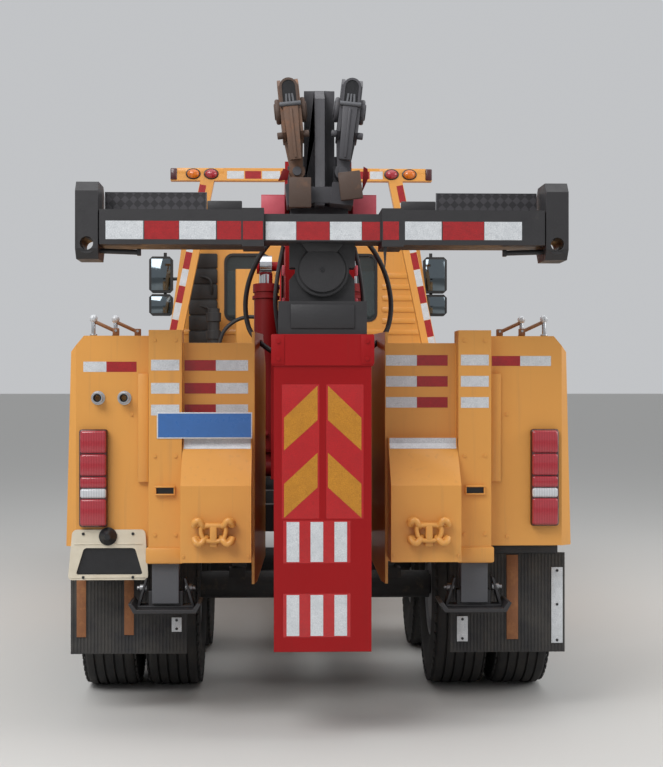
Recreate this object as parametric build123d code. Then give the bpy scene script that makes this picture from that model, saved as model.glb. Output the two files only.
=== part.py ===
from build123d import *
from math import atan2, cos, degrees, hypot, pi, radians, sin
import os

os.makedirs("parts", exist_ok=True)

# A heavy three-axle tow truck: cab over the engine, side boxes, a recovery boom and a folding underlift.
# Millimetres, +Y forward, +X to the truck's right, +Z up.
# The origin is on the ground, at the middle of the box that holds the parked truck.

# Places along the truck
tail_y = -4050
body_len = 6400
cab_space = 150
cab_len = 2100
rear_overhang = 1100
front_overhang = 1400
axle_pitch = 1350
body_front_y = tail_y + body_len
cab_back_y = body_front_y + cab_space
nose_y = cab_back_y + cab_len
rear_axle_y = tail_y + rear_overhang
mid_axle_y = rear_axle_y + axle_pitch
front_axle_y = nose_y - front_overhang

# Fits
seat_gap = 0.3
pad_w = 180
pad_len = 120
turn_gap = 0.1
slide_gap = 6
pad_t = slide_gap - seat_gap
panel_gap = 6

# Wheels
tyre_r = 540
tyre_w = 295
rim_r = 284
rim_lip = 22
twin_x = 930
twin_pitch = 335
front_wheel_x = 1020
disc_t = 25
spindle_r = 55
hub_r = 120
drum_r = 200
hand_hole_r = 28
hand_hole_count = 8

# Chassis frame
rail_x = 430
rail_flange = 80
rail_h = 280
rail_t = 10
rail_top = 1050
rail_back_y = tail_y + 150
rail_front_y = nose_y - 250
cross_w = 110
cross_z = (880, 1020)
cross_member_y = (tail_y + 600, mid_axle_y - axle_pitch / 2, tail_y + 4350, body_front_y - 850,
                  rail_front_y - 55)
spring_x = 430
spring_w = 80
spring_t = 24

# Axles and steering
beam_x = 800
beam_w = 100
beam_h = 90
beam_drop = 90
king_pin_x = 850
king_pin_r = 24
king_pin_h = 230
knuckle_r = 52
housing_r = 75
diff_r = 190
diff_w = 260

# Engine and drive
engine_x = 330
engine_y = (cab_back_y + 220, nose_y - 720)
engine_z = (640, 1190)
gearbox_y = body_front_y - 200
shaft_r = 45
shaft_z = 760

# Cab
cab_w = 2360
cab_top_w = 2100
cab_wall = 55
cab_floor_z = 1235
cab_front_z = 1060
footwell_y = nose_y - 640
waist_z = 1950
roof_z = 2990
roof_edge = 110
screen_top_y = nose_y - 210
cab_corner_r = 200
glass_t = 6
glass_in = 26
door_y = (nose_y - 1320, nose_y - 290)
door_z = (cab_floor_z + cab_wall + 2, 2800)
door_gap = 14
door_lean = 130
door_hinge_y = door_y[1] + 12
door_hinge_r = 10
door_hinge_x = cab_w / 2 + door_hinge_r + 2
door_hinge_z = (1370, 1770)
hinge_len = 60
hinge_strap = 45
screen_x = cab_top_w / 2 - 70
screen_z = (2030, 2790)
rear_window_x = (280, 660)
rear_window_z = (2230, 2800)
tilt_pin_y = nose_y - 170
tilt_pin_z = 1000
tilt_pin_r = 22
tilt_lug_x = (365, 400)
tilt_lug_r = 42
mirror_x = (cab_w / 2 + 55, cab_w / 2 + 285)
mirror_z = (2340, 2980)
mirror_t = 110
grille_x = 820
grille_z = (1290, 1800)
grille_t = 22
grille_count = 6
seat_x = 600
seat_w = 500
seat_y = cab_back_y + 550
seat_h = 1000
desk_in = 180
wheel_x = -600
wheel_in = 560
wheel_r = 232

# Front end
bumper_y = nose_y - 200
bumper_x = cab_w / 2
bumper_z = (350, 880)
bumper_wall = 30
bumper_edge = 24
lamp_x = (bumper_x - 420, bumper_x - 100)
lamp_z = (570, 760)
lamp_in = 60
tow_eye_x = 420
tow_eye_z = 450
tow_eye_w = 140
tow_eye_over = 50
tow_slot_w = 80
tow_slot_z = (tow_eye_z - 40, tow_eye_z + 20)
tow_pin_r = 22
tow_pin_in = 65
tow_floor_r = tow_pin_r + 8
step_x = (900, cab_w / 2)
step_y = nose_y - 720
step_z = (365, 1030)
step_depth = 190
step_count = 2
guard_r = 660
guard_t = 8
guard_x = (862, cab_w / 2 - 5)

# Side boxes
body_x = 1250
body_top_x = 1215
body_in_x = 830
body_top = 1885
body_low = 600
body_chamfer = (65, 78)
body_wall = 30
box_rear_y = tail_y + 450
box_rear_z = 855
arch_top = 1190
arch_front_y = tail_y + 3100
arch_r = 300
tank_back_y = body_front_y - 700
tank_top = 1250
locker_top = 1800
locker_door_t = 25
locker_stop = 25
locker_hinge_r = 8
locker_hinge_out = locker_hinge_r + 1
rear_corner = 60

# Tail: leg posts, hook boxes and guide wings
post_x = (670, 830)
post_y = (tail_y - 100, tail_y + 85)
post_z = (780, 1910)
leg_w = 130
leg_wall = 10
leg_z = (585, 1700)
leg_y = tail_y - 15
foot_x = 300
foot_y = 250
foot_z = 545
foot_t = 18
panel_x = (320, post_x[0] + 1)
panel_z = (780, 1850)
panel_t = 14
hook_box_x = (332, 668)
hook_box_out = 250
hook_box_z = (800, 1165, 1385)
hook_box_wall = 15
tail_beam_y = (tail_y + 60, tail_y + 440)
tail_beam_z = (800, 1046)
wing_t = 14
wing_front_x = 270
wing_front_y = tail_y + 500
wing_z = (670, 760, 1905)
claw_x = 510
claw_z = 950
claw_w = 195
claw_h = 152
claw_out = 62
claw_bar = 34

# Small rear pieces
tail_lamp_x = (1032, 1172)
tail_lamp_z = (953, 1429)
tail_lamp_t = 55
flap_x = (660, 1240)
flap_z = (300, 800)
flap_y = tail_y + 200
flap_t = 12
plate_x = (-1228, -837)
plate_z = (694, 939)
plate_window_x = (-1190, -862)
plate_window_z = (723, 855)
plate_t = 18
air_x = (-1083, -955)
air_z = 1581
air_r = 36
air_bore_r = 13
lever_x = (1010, 1110)
lever_y = (tail_y + 120, tail_y + 40)
lever_h = 85
lever_r = 11
ball_r = 20

# Deck frame that carries the boom
sub_x = (350, 450)
sub_z = (rail_top, 1150)
sub_y = (tail_y + 560, body_front_y - 25)
bearer_y = (arch_front_y + 120, body_front_y - 1920, body_front_y - 70)
bearer_w = 90
pivot_y = body_front_y - 1200
pivot_z = 1600
pivot_r = 55
pivot_plate_x = (205, 245)
tower_y = (pivot_y - 420, pivot_y + 380)
tower_beam = 90

# Boom
boom_rise = 11.2
boom_x = 170
boom_h = 440
boom_wall = 20
boom_end_y = tail_y + 300
boom_len = (pivot_y - boom_end_y) / cos(radians(boom_rise))
boom_back = 170
corner_x = 290
corner_y = (boom_end_y - 85, boom_end_y + 60)
corner_z = (2500, 2600)
boom_foot_h = 300
boom_taper = 1500
inner_start = 2600
inner_out = 153
head_x = 76
head_z = (2440, 3110)
head_rib = 24
saddle_x = (66, 178)
saddle_tilt = 6
saddle_z = (2525, 2628)
sheave_x = 113
head_pin_z = 2690
head_pin_r = 22
sheave_z = 2990
sheave_r = 135
sheave_w = 70
cheek_t = 16
cheek_r = 158
head_y = boom_end_y - 260
head_tilt = 6
winch_at = (-620, -1180)
winch_up = 175
winch_cheek = (190, 70, 120, 60)
drum_core_r = 110
drum_flange_r = 165
drum_w = 250
drum_plate_t = 18

# Lift cylinders
lift_x = 285
lift_r = 80
lift_rod_r = 45
lift_base = (arch_front_y - 100, 1100)
lift_eye = (arch_front_y, 2450)
lift_barrel_len = 1230
lift_pin_r = 32
lift_eye_r = 72
lift_eye_w = 80
lift_eye_slack = 17

# Mast and underlift
mast_x = 170
mast_y = (tail_y - 20, tail_y + 460)
mast_z = (620, 2480)
mast_wall = 20
fold_y = tail_y - 100
fold_z = 550
fold_r = 32
fold_boss_r = 68
mast_lug_x = (100, 140)
stinger_lug_x = (148, 190)
cheek_plate_x = (170, 240)
cheek_plate_z = (1180, 1750)
stinger_x = 225
stinger_y = (tail_y - 500, tail_y - 180)
stinger_z = (415, 1877)
stinger_wall = 14
collar_t = 9
collar_h = 145
tongue_x = 153
tongue_y = (tail_y - 385, tail_y - 295)
inner_top = 2030
inner_low = 475
swivel_z = 2180
swivel_r = 35
disc_r = 112
fork_t = 26
fork_gap = 5
bar_z = 2365
bar_h = 125
bar_y = (tail_y - 550, tail_y - 255)
bar_x = 270
arm_tube_x = (270, 1020)
arm_tube_h = 160
arm_wall = 14
arm_head_x = (1026, 1130)
arm_head_z = (2220, 2575)
arm_head_chamfer = 45
arm_in_x = 480
tread_x = (540, 1018)
tread_z = (2445, 2550)
tread_t = 6
fork_bore_r = 30
fork_bore_z = 2290

# Frame behind the cab
gantry_y = (body_front_y - 230, body_front_y - 130)
gantry_foot_x = (1000, 1185)
gantry_foot_t = 20
gantry_low_x = 1180
gantry_top_x = 870
gantry_post_w = 120
gantry_beam_x = 1125
gantry_beam_z = (3410, 3470)
gantry_mid_x = 670
gantry_top = 3520
beacon_r = 62
beacon_x = (920, 750)
snorkel_x = (-826, -696)
snorkel_y = (body_front_y - 135, body_front_y - 5)
snorkel_z = (tank_top, 2320)
snorkel_ribs = 7
intake_x = (-570, -365)
intake_y = (body_front_y - 110, body_front_y + 90)
intake_z = (1150, 2660)


def block(x, y, z):
    # a box between two values on each axis
    size = [high - low for low, high in (x, y, z)]
    middle = [(high + low) / 2 for low, high in (x, y, z)]
    return Pos(*middle) * Box(*size)


def side_outline(points):
    # a face from (y, z) points, in the plane of symmetry
    return Plane(origin=(0, 0, 0), x_dir=(0, 1, 0), z_dir=(1, 0, 0)) * Polygon(*points, align=None)


def side_plate(points, x, round_r=0):
    # an outline of (y, z) points from x[0] to x[1]
    face = side_outline(points)
    if round_r:
        face = fillet(face.vertices(), round_r)
    return extrude(Pos(x[0], 0, 0) * face, amount=x[1] - x[0], dir=(1, 0, 0))


def rear_plate(points, y, round_r=0):
    # an outline of (x, z) points from y[0] to y[1]
    face = Plane(origin=(0, y[0], 0), x_dir=(1, 0, 0), z_dir=(0, -1, 0)) * Polygon(*points, align=None)
    if round_r:
        face = fillet(face.vertices(), round_r)
    return extrude(face, amount=y[1] - y[0], dir=(0, 1, 0))


def rod(start, end, radius):
    # a round bar from one point to another
    run = Vector(*end) - Vector(*start)
    bottom = (Align.CENTER, Align.CENTER, Align.MIN)
    return Plane(origin=start, z_dir=run) * Cylinder(radius, run.length, align=bottom)


def cross_rod(x, y, z, radius):
    # a round bar across the truck
    return rod((x[0], y, z), (x[1], y, z), radius)


def turned(points, y, z):
    # an outline of (x, radius) points turned about an axle at (y, z)
    face = Plane(origin=(0, y, z), x_dir=(1, 0, 0), z_dir=(0, -1, 0)) * Polygon(*points, align=None)
    return revolve(face, Axis((0, y, z), (1, 0, 0)), 360)


def mirrored(shape):
    return mirror(shape, about=Plane.YZ)


def both(shape):
    # a shape and its mirror image on the other side
    return shape + mirrored(shape)


def outline_box(y, z):
    return [(y[0], z[0]), (y[1], z[0]), (y[1], z[1]), (y[0], z[1])]


# Tyres and rims, made on the right and mirrored
def tyre(x, y):
    height = tyre_r - rim_r
    # side of the section, from the bead to the tread: share of the width, share of the height
    section = [(0.41, 0), (0.50, 0.45), (0.41, 1)]
    right = [(x + share * tyre_w, rim_r + seat_gap + rise * (height - seat_gap)) for share, rise in section]
    left = [(2 * x - place, radius) for place, radius in reversed(right)]
    return turned(right + left, y, tyre_r)


def hand_holes(x, y, ring_r):
    holes = Part()
    for turn in range(hand_hole_count):
        angle = 2 * pi * turn / hand_hole_count
        hole_y = y + ring_r * cos(angle)
        hole_z = tyre_r + ring_r * sin(angle)
        holes += cross_rod((x - disc_t, x + 2 * disc_t), hole_y, hole_z, hand_hole_r)
    return holes


def twin_rim(y):
    # two rims back to back on one hub with its brake drum
    half = 0.42 * tyre_w
    inner_x = twin_x - twin_pitch / 2
    outer_x = twin_x + twin_pitch / 2
    inside = rim_r - rim_lip
    bore = spindle_r + turn_gap
    cap_x = outer_x + 55
    # one outline of (x, radius) points from the drum's edge round to the hub's bore
    points = [
        (inner_x - half + 4, bore), (inner_x - half + 4, drum_r), (twin_x - 50, drum_r),
        (twin_x - 50, hub_r + 20), (twin_x - disc_t, hub_r + 20), (twin_x - disc_t, inside),
        (inner_x - half, inside), (inner_x - half, rim_r), (outer_x + half, rim_r),
        (outer_x + half, inside), (twin_x + disc_t / 2, inside), (twin_x + disc_t / 2, hub_r),
        (cap_x, hub_r - 20), (cap_x, 0), (cap_x - 40, 0), (cap_x - 40, bore),
    ]
    return turned(points, y, tyre_r) - hand_holes(twin_x - disc_t, y, (inside + hub_r + 20) / 2)


def front_rim(y):
    # a single rim whose disc stands outboard, over the hub
    half = 0.42 * tyre_w
    inside = rim_r - rim_lip
    bore = spindle_r + turn_gap
    disc_x = front_wheel_x + 70
    cap_x = disc_x + 80
    points = [
        (front_wheel_x - 40, bore), (front_wheel_x - 40, drum_r), (disc_x - 25, drum_r),
        (disc_x - 25, hub_r + 20), (disc_x, hub_r + 20), (disc_x, inside),
        (front_wheel_x - half, inside), (front_wheel_x - half, rim_r), (front_wheel_x + half, rim_r),
        (front_wheel_x + half, inside), (disc_x + disc_t, inside), (disc_x + disc_t, hub_r),
        (cap_x, hub_r - 20), (cap_x, 0), (cap_x - 40, 0), (cap_x - 40, bore),
    ]
    return turned(points, y, tyre_r) - hand_holes(disc_x, y, (inside + hub_r + 20) / 2)


# Frame rails and what hangs below them
def frame_rails():
    low = rail_top - rail_h
    web = block((rail_x - rail_t, rail_x), (rail_back_y, rail_front_y), (low, rail_top))
    rail = web
    for z in ((low, low + rail_t), (rail_top - rail_t, rail_top)):
        rail += block((rail_x - rail_flange, rail_x), (rail_back_y, rail_front_y), z)
    frame = both(rail)
    for y in cross_member_y:
        frame += block((rail_t - rail_x, rail_x - rail_t), (y - cross_w / 2, y + cross_w / 2), cross_z)
    # brackets that hold the cab's tilt pin
    for x in ((tilt_lug_x[0] - 25, tilt_lug_x[0] - 5), (tilt_lug_x[1] + 5, tilt_lug_x[1] + 25)):
        ear = [(rail_front_y - 60, low + 60), (rail_front_y + 20, low + 120),
               (tilt_pin_y + 36, tilt_pin_z - 30), (tilt_pin_y + 36, tilt_pin_z + 30),
               (tilt_pin_y - 36, tilt_pin_z + 30), (rail_front_y - 60, rail_top - 40)]
        frame += both(side_plate(ear, x))
    pin = cross_rod((tilt_lug_x[0] - 25, tilt_lug_x[1] + 25), tilt_pin_y, tilt_pin_z, tilt_pin_r)
    return frame + both(pin)


def leaf_spring(y, reach, low, high):
    # an arched stack under a rail, hung at both ends
    mid = (low + high) / 2
    arch = [(y - reach, high - spring_t), (y - 120, low), (y + 120, low), (y + reach, high - spring_t),
            (y + reach, high), (y + 150, mid), (y - 150, mid), (y - reach, high)]
    spring = side_plate(arch, (spring_x - spring_w / 2, spring_x + spring_w / 2))
    for end in (y - reach + 40, y + reach - 40):
        spring += block((spring_x + seat_gap, spring_x + spring_w / 2), (end - 35, end + 35),
                        (high - spring_t, rail_top - rail_h + 90))
    return spring


def front_springs():
    return both(leaf_spring(front_axle_y, 600, front_beam_top(), rail_top - rail_h - 30))


def rear_springs():
    rear_mid = (rear_axle_y + mid_axle_y) / 2
    return both(leaf_spring(rear_mid, axle_pitch / 2 + 120, tyre_r + 30, rail_top - rail_h - 20))


def front_beam_top():
    return tyre_r - beam_drop + beam_h / 2


def front_axle():
    # a dropped beam between two upright eyes that hold the king pins
    low = tyre_r - beam_drop
    half = beam_h / 2
    drop_x = beam_x - 160
    points = [(0, low - half), (drop_x, low - half), (beam_x, tyre_r - half), (king_pin_x, tyre_r - half),
              (king_pin_x, tyre_r + half), (beam_x - 20, tyre_r + half), (drop_x - 30, low + half),
              (0, low + half)]
    beam = rear_plate(points, (front_axle_y - beam_w / 2, front_axle_y + beam_w / 2))
    beam += rod((king_pin_x, front_axle_y, tyre_r - half), (king_pin_x, front_axle_y, tyre_r + half),
                beam_w / 2)
    beam += rod((king_pin_x, front_axle_y, tyre_r - king_pin_h / 2),
                (king_pin_x, front_axle_y, tyre_r + king_pin_h / 2), king_pin_r)
    return both(beam)


def knuckle():
    # a fork round the beam's eye, with the spindle that carries the wheel
    half = beam_h / 2 + 2
    bore = king_pin_r + turn_gap
    fork = Part()
    for low, high in ((tyre_r - king_pin_h / 2 + 5, tyre_r - half),
                      (tyre_r + half, tyre_r + king_pin_h / 2 - 5)):
        fork += rod((king_pin_x, front_axle_y, low), (king_pin_x, front_axle_y, high), knuckle_r)
    bridge_x = (king_pin_x + beam_w / 2 + 4, king_pin_x + beam_w / 2 + 40)
    fork += block(bridge_x, (front_axle_y - 50, front_axle_y + 50),
                  (tyre_r - king_pin_h / 2 + 5, tyre_r + king_pin_h / 2 - 5))
    for low, high in ((tyre_r - king_pin_h / 2 + 5, tyre_r - half),
                      (tyre_r + half, tyre_r + king_pin_h / 2 - 5)):
        fork += block((king_pin_x, bridge_x[1]), (front_axle_y - 50, front_axle_y + 50), (low, high))
    hole = rod((king_pin_x, front_axle_y, tyre_r - king_pin_h),
               (king_pin_x, front_axle_y, tyre_r + king_pin_h), bore)
    spindle = cross_rod((bridge_x[0], front_wheel_x + 90), front_axle_y, tyre_r, spindle_r)
    arm = block((king_pin_x - 60, king_pin_x + 40), (front_axle_y - 230, front_axle_y - 45),
                (tyre_r + half + 10, tyre_r + king_pin_h / 2 - 5))
    return fork - hole + spindle + arm


def rear_axle(y):
    bulge = [(-diff_w / 2, 0), (-diff_w / 2, housing_r), (-diff_w / 4, diff_r), (diff_w / 4, diff_r),
             (diff_w / 2, housing_r), (diff_w / 2, 0)]
    tube_end = twin_x - twin_pitch / 2 - 0.42 * tyre_w - 5
    axle = turned(bulge, y, tyre_r) + cross_rod((-tube_end, tube_end), y, tyre_r, housing_r)
    axle += cross_rod((-twin_x - 100, twin_x + 100), y, tyre_r, spindle_r)
    nose = rod((0, y, tyre_r), (0, y + diff_r + 90, tyre_r), 80)
    seat = block((spring_x - 45, spring_x + 45), (y - 60, y + 60), (tyre_r, tyre_r + housing_r + 20))
    return axle + nose + both(seat)


def engine():
    low, high = engine_z
    motor = block((-engine_x, engine_x), engine_y, (low + 40, high))
    motor += side_plate([(engine_y[0], low + 40), (engine_y[1], low + 40), (engine_y[1] - 250, low - 20),
                         (engine_y[0] + 420, low - 20)], (-engine_x + 90, engine_x - 90))
    motor += side_plate([(gearbox_y, shaft_z - 90), (engine_y[0], shaft_z - 120),
                         (engine_y[0], shaft_z + 230),
                         (gearbox_y + 300, shaft_z + 190), (gearbox_y, shaft_z + 90)], (-190, 190))
    for y in (engine_y[0] + 120, engine_y[1] - 220):
        motor += both(block((engine_x - 5, rail_x - rail_t), (y - 60, y + 60),
                            (cross_z[0], cross_z[0] + 60)))
    return motor


def prop_shafts():
    nose = diff_r + 90
    long_shaft = rod((0, gearbox_y - shaft_r * 0.07, shaft_z), (0, mid_axle_y + nose, tyre_r), shaft_r)
    short_shaft = rod((0, mid_axle_y - diff_r + 4, tyre_r), (0, rear_axle_y + nose, tyre_r), shaft_r)
    return long_shaft + short_shaft


def fuel_tank():
    x = (-body_x + 80, -rail_x - 60)
    y = (tank_back_y + 40, tank_back_y + 560)
    z = (body_low - 30, tank_top - 180)
    points = outline_box(x, z)
    tank = rear_plate(points, y, 70)
    for strap in (y[0] + 90, y[1] - 90):
        tank += block((x[0] + 80, -sub_x[1]), (strap - 25, strap + 25), (z[1] - 20, z[1] + 16))
    return tank


def battery_box():
    y = (tank_back_y + 40, tank_back_y + 560)
    z = (body_low - 10, tank_top - 240)
    case = block((rail_x, body_x - 90), y, z)
    case = chamfer(case.faces().sort_by(Axis.X)[-1].edges(), 25)
    for place in (y[0] + 130, y[1] - 130):
        case += cross_rod((rail_x + 80, body_x - 150), place, z[1] + 85, 105)
    return case


# Front end
def bumper_block(inset, low, high):
    half = bumper_x - inset
    front = nose_y - 2 - inset
    points = [(-half, bumper_y - inset), (-half, front - 88), (-half + 130, front),
              (half - 130, front), (half, front - 88), (half, bumper_y - inset)]
    return extrude(Pos(0, 0, low) * Polygon(*points, align=None), amount=high - low, dir=(0, 0, 1))


def bumper():
    low, high = bumper_z
    edge = bumper_edge
    profile = [(bumper_y - 1, low - 1), (nose_y - edge, low - 1), (nose_y, low + edge),
               (nose_y, high - edge),
               (nose_y - edge, high + 1), (bumper_y - 1, high + 1)]
    outer = bumper_block(0, low, high) & side_plate(profile, (-bumper_x - 1, bumper_x + 1))
    shell = outer - bumper_block(bumper_wall, low + bumper_wall, high - bumper_wall)
    for side in (-1, 1):
        x = sorted((side * lamp_x[0], side * lamp_x[1]))
        shell += block((x[0] - 15, x[1] + 15), (nose_y - lamp_in - 17, nose_y - bumper_wall),
                       (lamp_z[0] - 15, lamp_z[1] + 15))
        shell -= block(x, (nose_y - lamp_in - 2, nose_y + 10), lamp_z)
        shell -= rod((side * tow_eye_x, nose_y - tow_pin_in, low - 10),
                     (side * tow_eye_x, nose_y - tow_pin_in, low + bumper_wall + 10), tow_floor_r)
        shell -= block((side * tow_eye_x - tow_slot_w / 2, side * tow_eye_x + tow_slot_w / 2),
                       (nose_y - bumper_wall - 10, nose_y + 10), tow_slot_z)
        shell += block(sorted((side * (rail_x - rail_flange), side * rail_x)),
                       (rail_front_y, nose_y - bumper_wall - 1),
                       (rail_top - rail_h + 5, high - bumper_wall + 1))
    grille_z = (low + 190, low + 350)
    for x in (-150, 150):
        shell -= block((x - 120, x + 120), (nose_y - 140, nose_y + 10), grille_z)
    return shell


def tow_eyes():
    # a forged eye behind each slot of the bumper, standing on its floor, with an upright pin hole
    x = (tow_eye_x - tow_eye_w / 2, tow_eye_x + tow_eye_w / 2)
    low = bumper_z[0] + bumper_wall + seat_gap
    high = tow_eye_z + tow_eye_over
    eye = block(x, (bumper_y, nose_y - bumper_wall - seat_gap), (low, high))
    eye -= rod((tow_eye_x, nose_y - tow_pin_in, low - 1), (tow_eye_x, nose_y - tow_pin_in, high + 1),
               tow_pin_r)
    eye -= block((tow_eye_x - tow_slot_w / 2, tow_eye_x + tow_slot_w / 2),
                 (nose_y - tow_pin_in - 45, nose_y), tow_slot_z)
    return both(eye)


def headlamps():
    gap = seat_gap
    x = (lamp_x[0] + gap, lamp_x[1] - gap)
    z = (lamp_z[0] + gap, lamp_z[1] - gap)
    lamp = block(x, (nose_y - lamp_in - 2 + gap, nose_y - lamp_in / 2), z)
    return both(fillet(lamp.edges().filter_by(Axis.Y), 12))


def cab_steps():
    frame = block(step_x, (step_y, bumper_y + 10), step_z)
    frame -= block((step_x[0] + 25, step_x[1] - 25), (step_y + 25, bumper_y - 25),
                   (step_z[0] + 25, step_z[1] - 25))
    pitch = (step_z[1] - step_z[0]) / (step_count + 1)
    for number in range(step_count + 1):
        low = step_z[0] + number * pitch + 30
        frame -= block((step_x[1] - step_depth, step_x[1] + 10), (step_y + 60, bumper_y - 60),
                       (low, low + pitch - 60))
    hanger = block((rail_x, step_x[0] + 5), (bumper_y - 120, bumper_y - 40),
                   (rail_top - 200, rail_top - 120))
    return both(frame + hanger)


def mudguards():
    ring = cross_rod(guard_x, front_axle_y, tyre_r, guard_r + guard_t)
    ring -= cross_rod((guard_x[0] - 1, guard_x[1] + 1), front_axle_y, tyre_r, guard_r)
    ring -= block((0, body_x + 100), (front_axle_y - 900, front_axle_y + 900), (-200, tyre_r + 60))
    stay_z = tyre_r + 260
    stay_y = front_axle_y - (guard_r ** 2 - 260 ** 2) ** 0.5
    stay = block((rail_x, guard_x[0] + 6), (stay_y - 60, stay_y - 4), (stay_z - 10, stay_z + 10))
    tab = block((step_x[0] + 40, step_x[0] + 120), (front_axle_y + guard_r - 22, step_y),
                (tyre_r + 150, tyre_r + 166))
    return both(ring + stay + tab)


# Cab
def cab_block(inset):
    # the outside of the cab, or a layer of it at a depth below the skin
    side = [(cab_back_y, cab_floor_z), (footwell_y - 40, cab_floor_z), (footwell_y, cab_front_z),
            (nose_y - 25, cab_front_z), (nose_y, cab_front_z + 60), (nose_y, waist_z - 30),
            (nose_y - 20, waist_z + 40), (screen_top_y, roof_z - roof_edge), (screen_top_y - 190, roof_z),
            (cab_back_y + 90, roof_z), (cab_back_y, roof_z - roof_edge)]
    half = cab_w / 2
    top = cab_top_w / 2
    front = [(-half, cab_front_z), (half, cab_front_z), (half, waist_z), (top, roof_z - roof_edge),
             (top - 120, roof_z), (-top + 120, roof_z), (-top, roof_z - roof_edge), (-half, waist_z)]
    plan = [(-half, cab_back_y), (half, cab_back_y), (half, nose_y), (-half, nose_y)]
    side_face = offset(side_outline(side), -inset, kind=Kind.INTERSECTION) if inset else side_outline(side)
    behind = Plane(origin=(0, cab_back_y - 10, 0), x_dir=(1, 0, 0), z_dir=(0, -1, 0))
    front_face = behind * Polygon(*front, align=None)
    plan_face = Polygon(*plan, align=None)
    corners = plan_face.vertices().sort_by(Axis.Y)
    plan_face = fillet(corners[-2:], cab_corner_r)
    if inset:
        front_face = offset(front_face, -inset, kind=Kind.INTERSECTION)
        plan_face = offset(plan_face, -inset, kind=Kind.INTERSECTION)
    along = extrude(Pos(-half - 10, 0, 0) * side_face, amount=cab_w + 20, dir=(1, 0, 0))
    across = extrude(front_face, amount=nose_y - cab_back_y + 20, dir=(0, 1, 0))
    upright = extrude(Pos(0, 0, cab_front_z - 10) * plan_face, amount=roof_z - cab_front_z + 20,
                      dir=(0, 0, 1))
    return along & across & upright


def door_outline(gap):
    # the door's edge in (y, z), shrunk by a gap
    back, front = door_y
    low, high = door_z
    return [(back + gap, low + gap), (front - gap / 2, low + gap), (front - gap / 2, waist_z),
            (front - gap / 2 - door_lean, high - gap), (back + gap, high - gap)]


def door_window(gap):
    back, front = door_y
    low, high = waist_z + 60, door_z[1] - 90
    return [(back + 100 + gap, low + gap), (front - 85 - gap, low + gap),
            (front - door_lean - 65 - gap, high - gap), (back + 100 + gap, high - gap)]


def window_box(x, z, gap, round_r):
    points = outline_box((x[0] + gap, x[1] - gap), (z[0] + gap, z[1] - gap))
    return points, round_r - gap


def cab_cutters(gap):
    # prisms through the windscreen and the two rear windows
    screen, screen_r = window_box((-screen_x, screen_x), screen_z, gap, 90)
    rear, rear_r = window_box(rear_window_x, rear_window_z, gap, 60)
    middle_y = (cab_back_y + nose_y) / 2
    front_cut = rear_plate(screen, (middle_y, nose_y + 50), screen_r)
    rear_cut = both(rear_plate(rear, (cab_back_y - 50, middle_y), rear_r))
    return front_cut, rear_cut


def cab_pieces():
    outer = cab_block(0)
    inner = cab_block(cab_wall)
    shell = outer - inner
    reach = (cab_top_w / 2 - 200, cab_w / 2 + 50)
    door_cut = side_plate(door_outline(0), reach)
    front_cut, rear_cut = cab_cutters(0)
    glass_layer = cab_block(glass_in) - cab_block(glass_in + glass_t)
    cab = shell - both(door_cut) - front_cut - rear_cut
    cab -= block((-grille_x - 10, grille_x + 10), (nose_y - grille_t, nose_y + 10),
                 (grille_z[0] - 12, grille_z[1] + 12))
    lug = side_plate([(tilt_pin_y - tilt_lug_r, tilt_pin_z),
                      (tilt_pin_y - tilt_lug_r - 25, cab_front_z + 5),
                      (tilt_pin_y + tilt_lug_r + 30, cab_front_z + 5),
                      (tilt_pin_y + tilt_lug_r, tilt_pin_z)], tilt_lug_x)
    lug += cross_rod(tilt_lug_x, tilt_pin_y, tilt_pin_z, tilt_lug_r)
    lug -= cross_rod((tilt_lug_x[0] - 5, tilt_lug_x[1] + 5), tilt_pin_y, tilt_pin_z, tilt_pin_r + turn_gap)
    cab += both(lug)
    door = (shell & side_plate(door_outline(door_gap), reach)) - side_plate(door_window(0), reach, 50)
    for low in door_hinge_z:
        cab += both(door_hinge(low, True))
        door += door_hinge(low, False)
    door_glass = glass_layer & side_plate(door_window(seat_gap), reach, 50 - seat_gap)
    front_glass, rear_glass = cab_cutters(seat_gap)
    cab_glass = (glass_layer & front_glass) + (glass_layer & rear_glass)
    return cab, door, door_glass, cab_glass


def door_hinge(low, fixed):
    # one knuckle of a stacked hinge, with its strap to the pillar or to the door
    skin = cab_w / 2
    door_edge = door_y[1] - door_gap / 2
    z = (low, low + hinge_len - seat_gap) if fixed else (low + hinge_len, low + 2 * hinge_len)
    knuckle = rod((door_hinge_x, door_hinge_y, z[0]), (door_hinge_x, door_hinge_y, z[1]), door_hinge_r)
    outside = (skin + 1, door_hinge_x)
    if fixed:
        return knuckle + block((skin - 4, door_hinge_x), (door_hinge_y, door_hinge_y + hinge_strap), z)
    strap = block(outside, (door_edge - hinge_strap, door_hinge_y), z)
    return knuckle + strap + block((skin - 4, door_hinge_x), (door_edge - hinge_strap, door_edge - 2), z)


def mirror_piece():
    # two glass housings on an arm from the top of the door
    x, z = mirror_x, mirror_z
    y = (door_hinge_y - 30 - mirror_t, door_hinge_y - 30)
    split = z[0] + 210
    housing = chamfer(block(x, y, (split + 15, z[1] - 60)).edges().filter_by(Axis.Y), 30)
    wide = chamfer(block(x, y, (z[0], split)).edges().filter_by(Axis.Y), 30)
    arm_x = (x[0] + x[1]) / 2 - 40
    arm_y = (y[0] + y[1]) / 2
    arm = rod((arm_x, arm_y, z[0] + 30), (arm_x, arm_y, z[1] - 20), 16)
    for height in (z[0] + 60, z[1] - 280):
        door_edge_y = door_y[1] - door_lean * (height - waist_z) / (door_z[1] - waist_z)
        arm += rod((cab_top_w / 2 - 40, door_edge_y - 75, height), (arm_x, arm_y, height), 16)
    return housing + wide + arm - cab_block(0)


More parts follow.
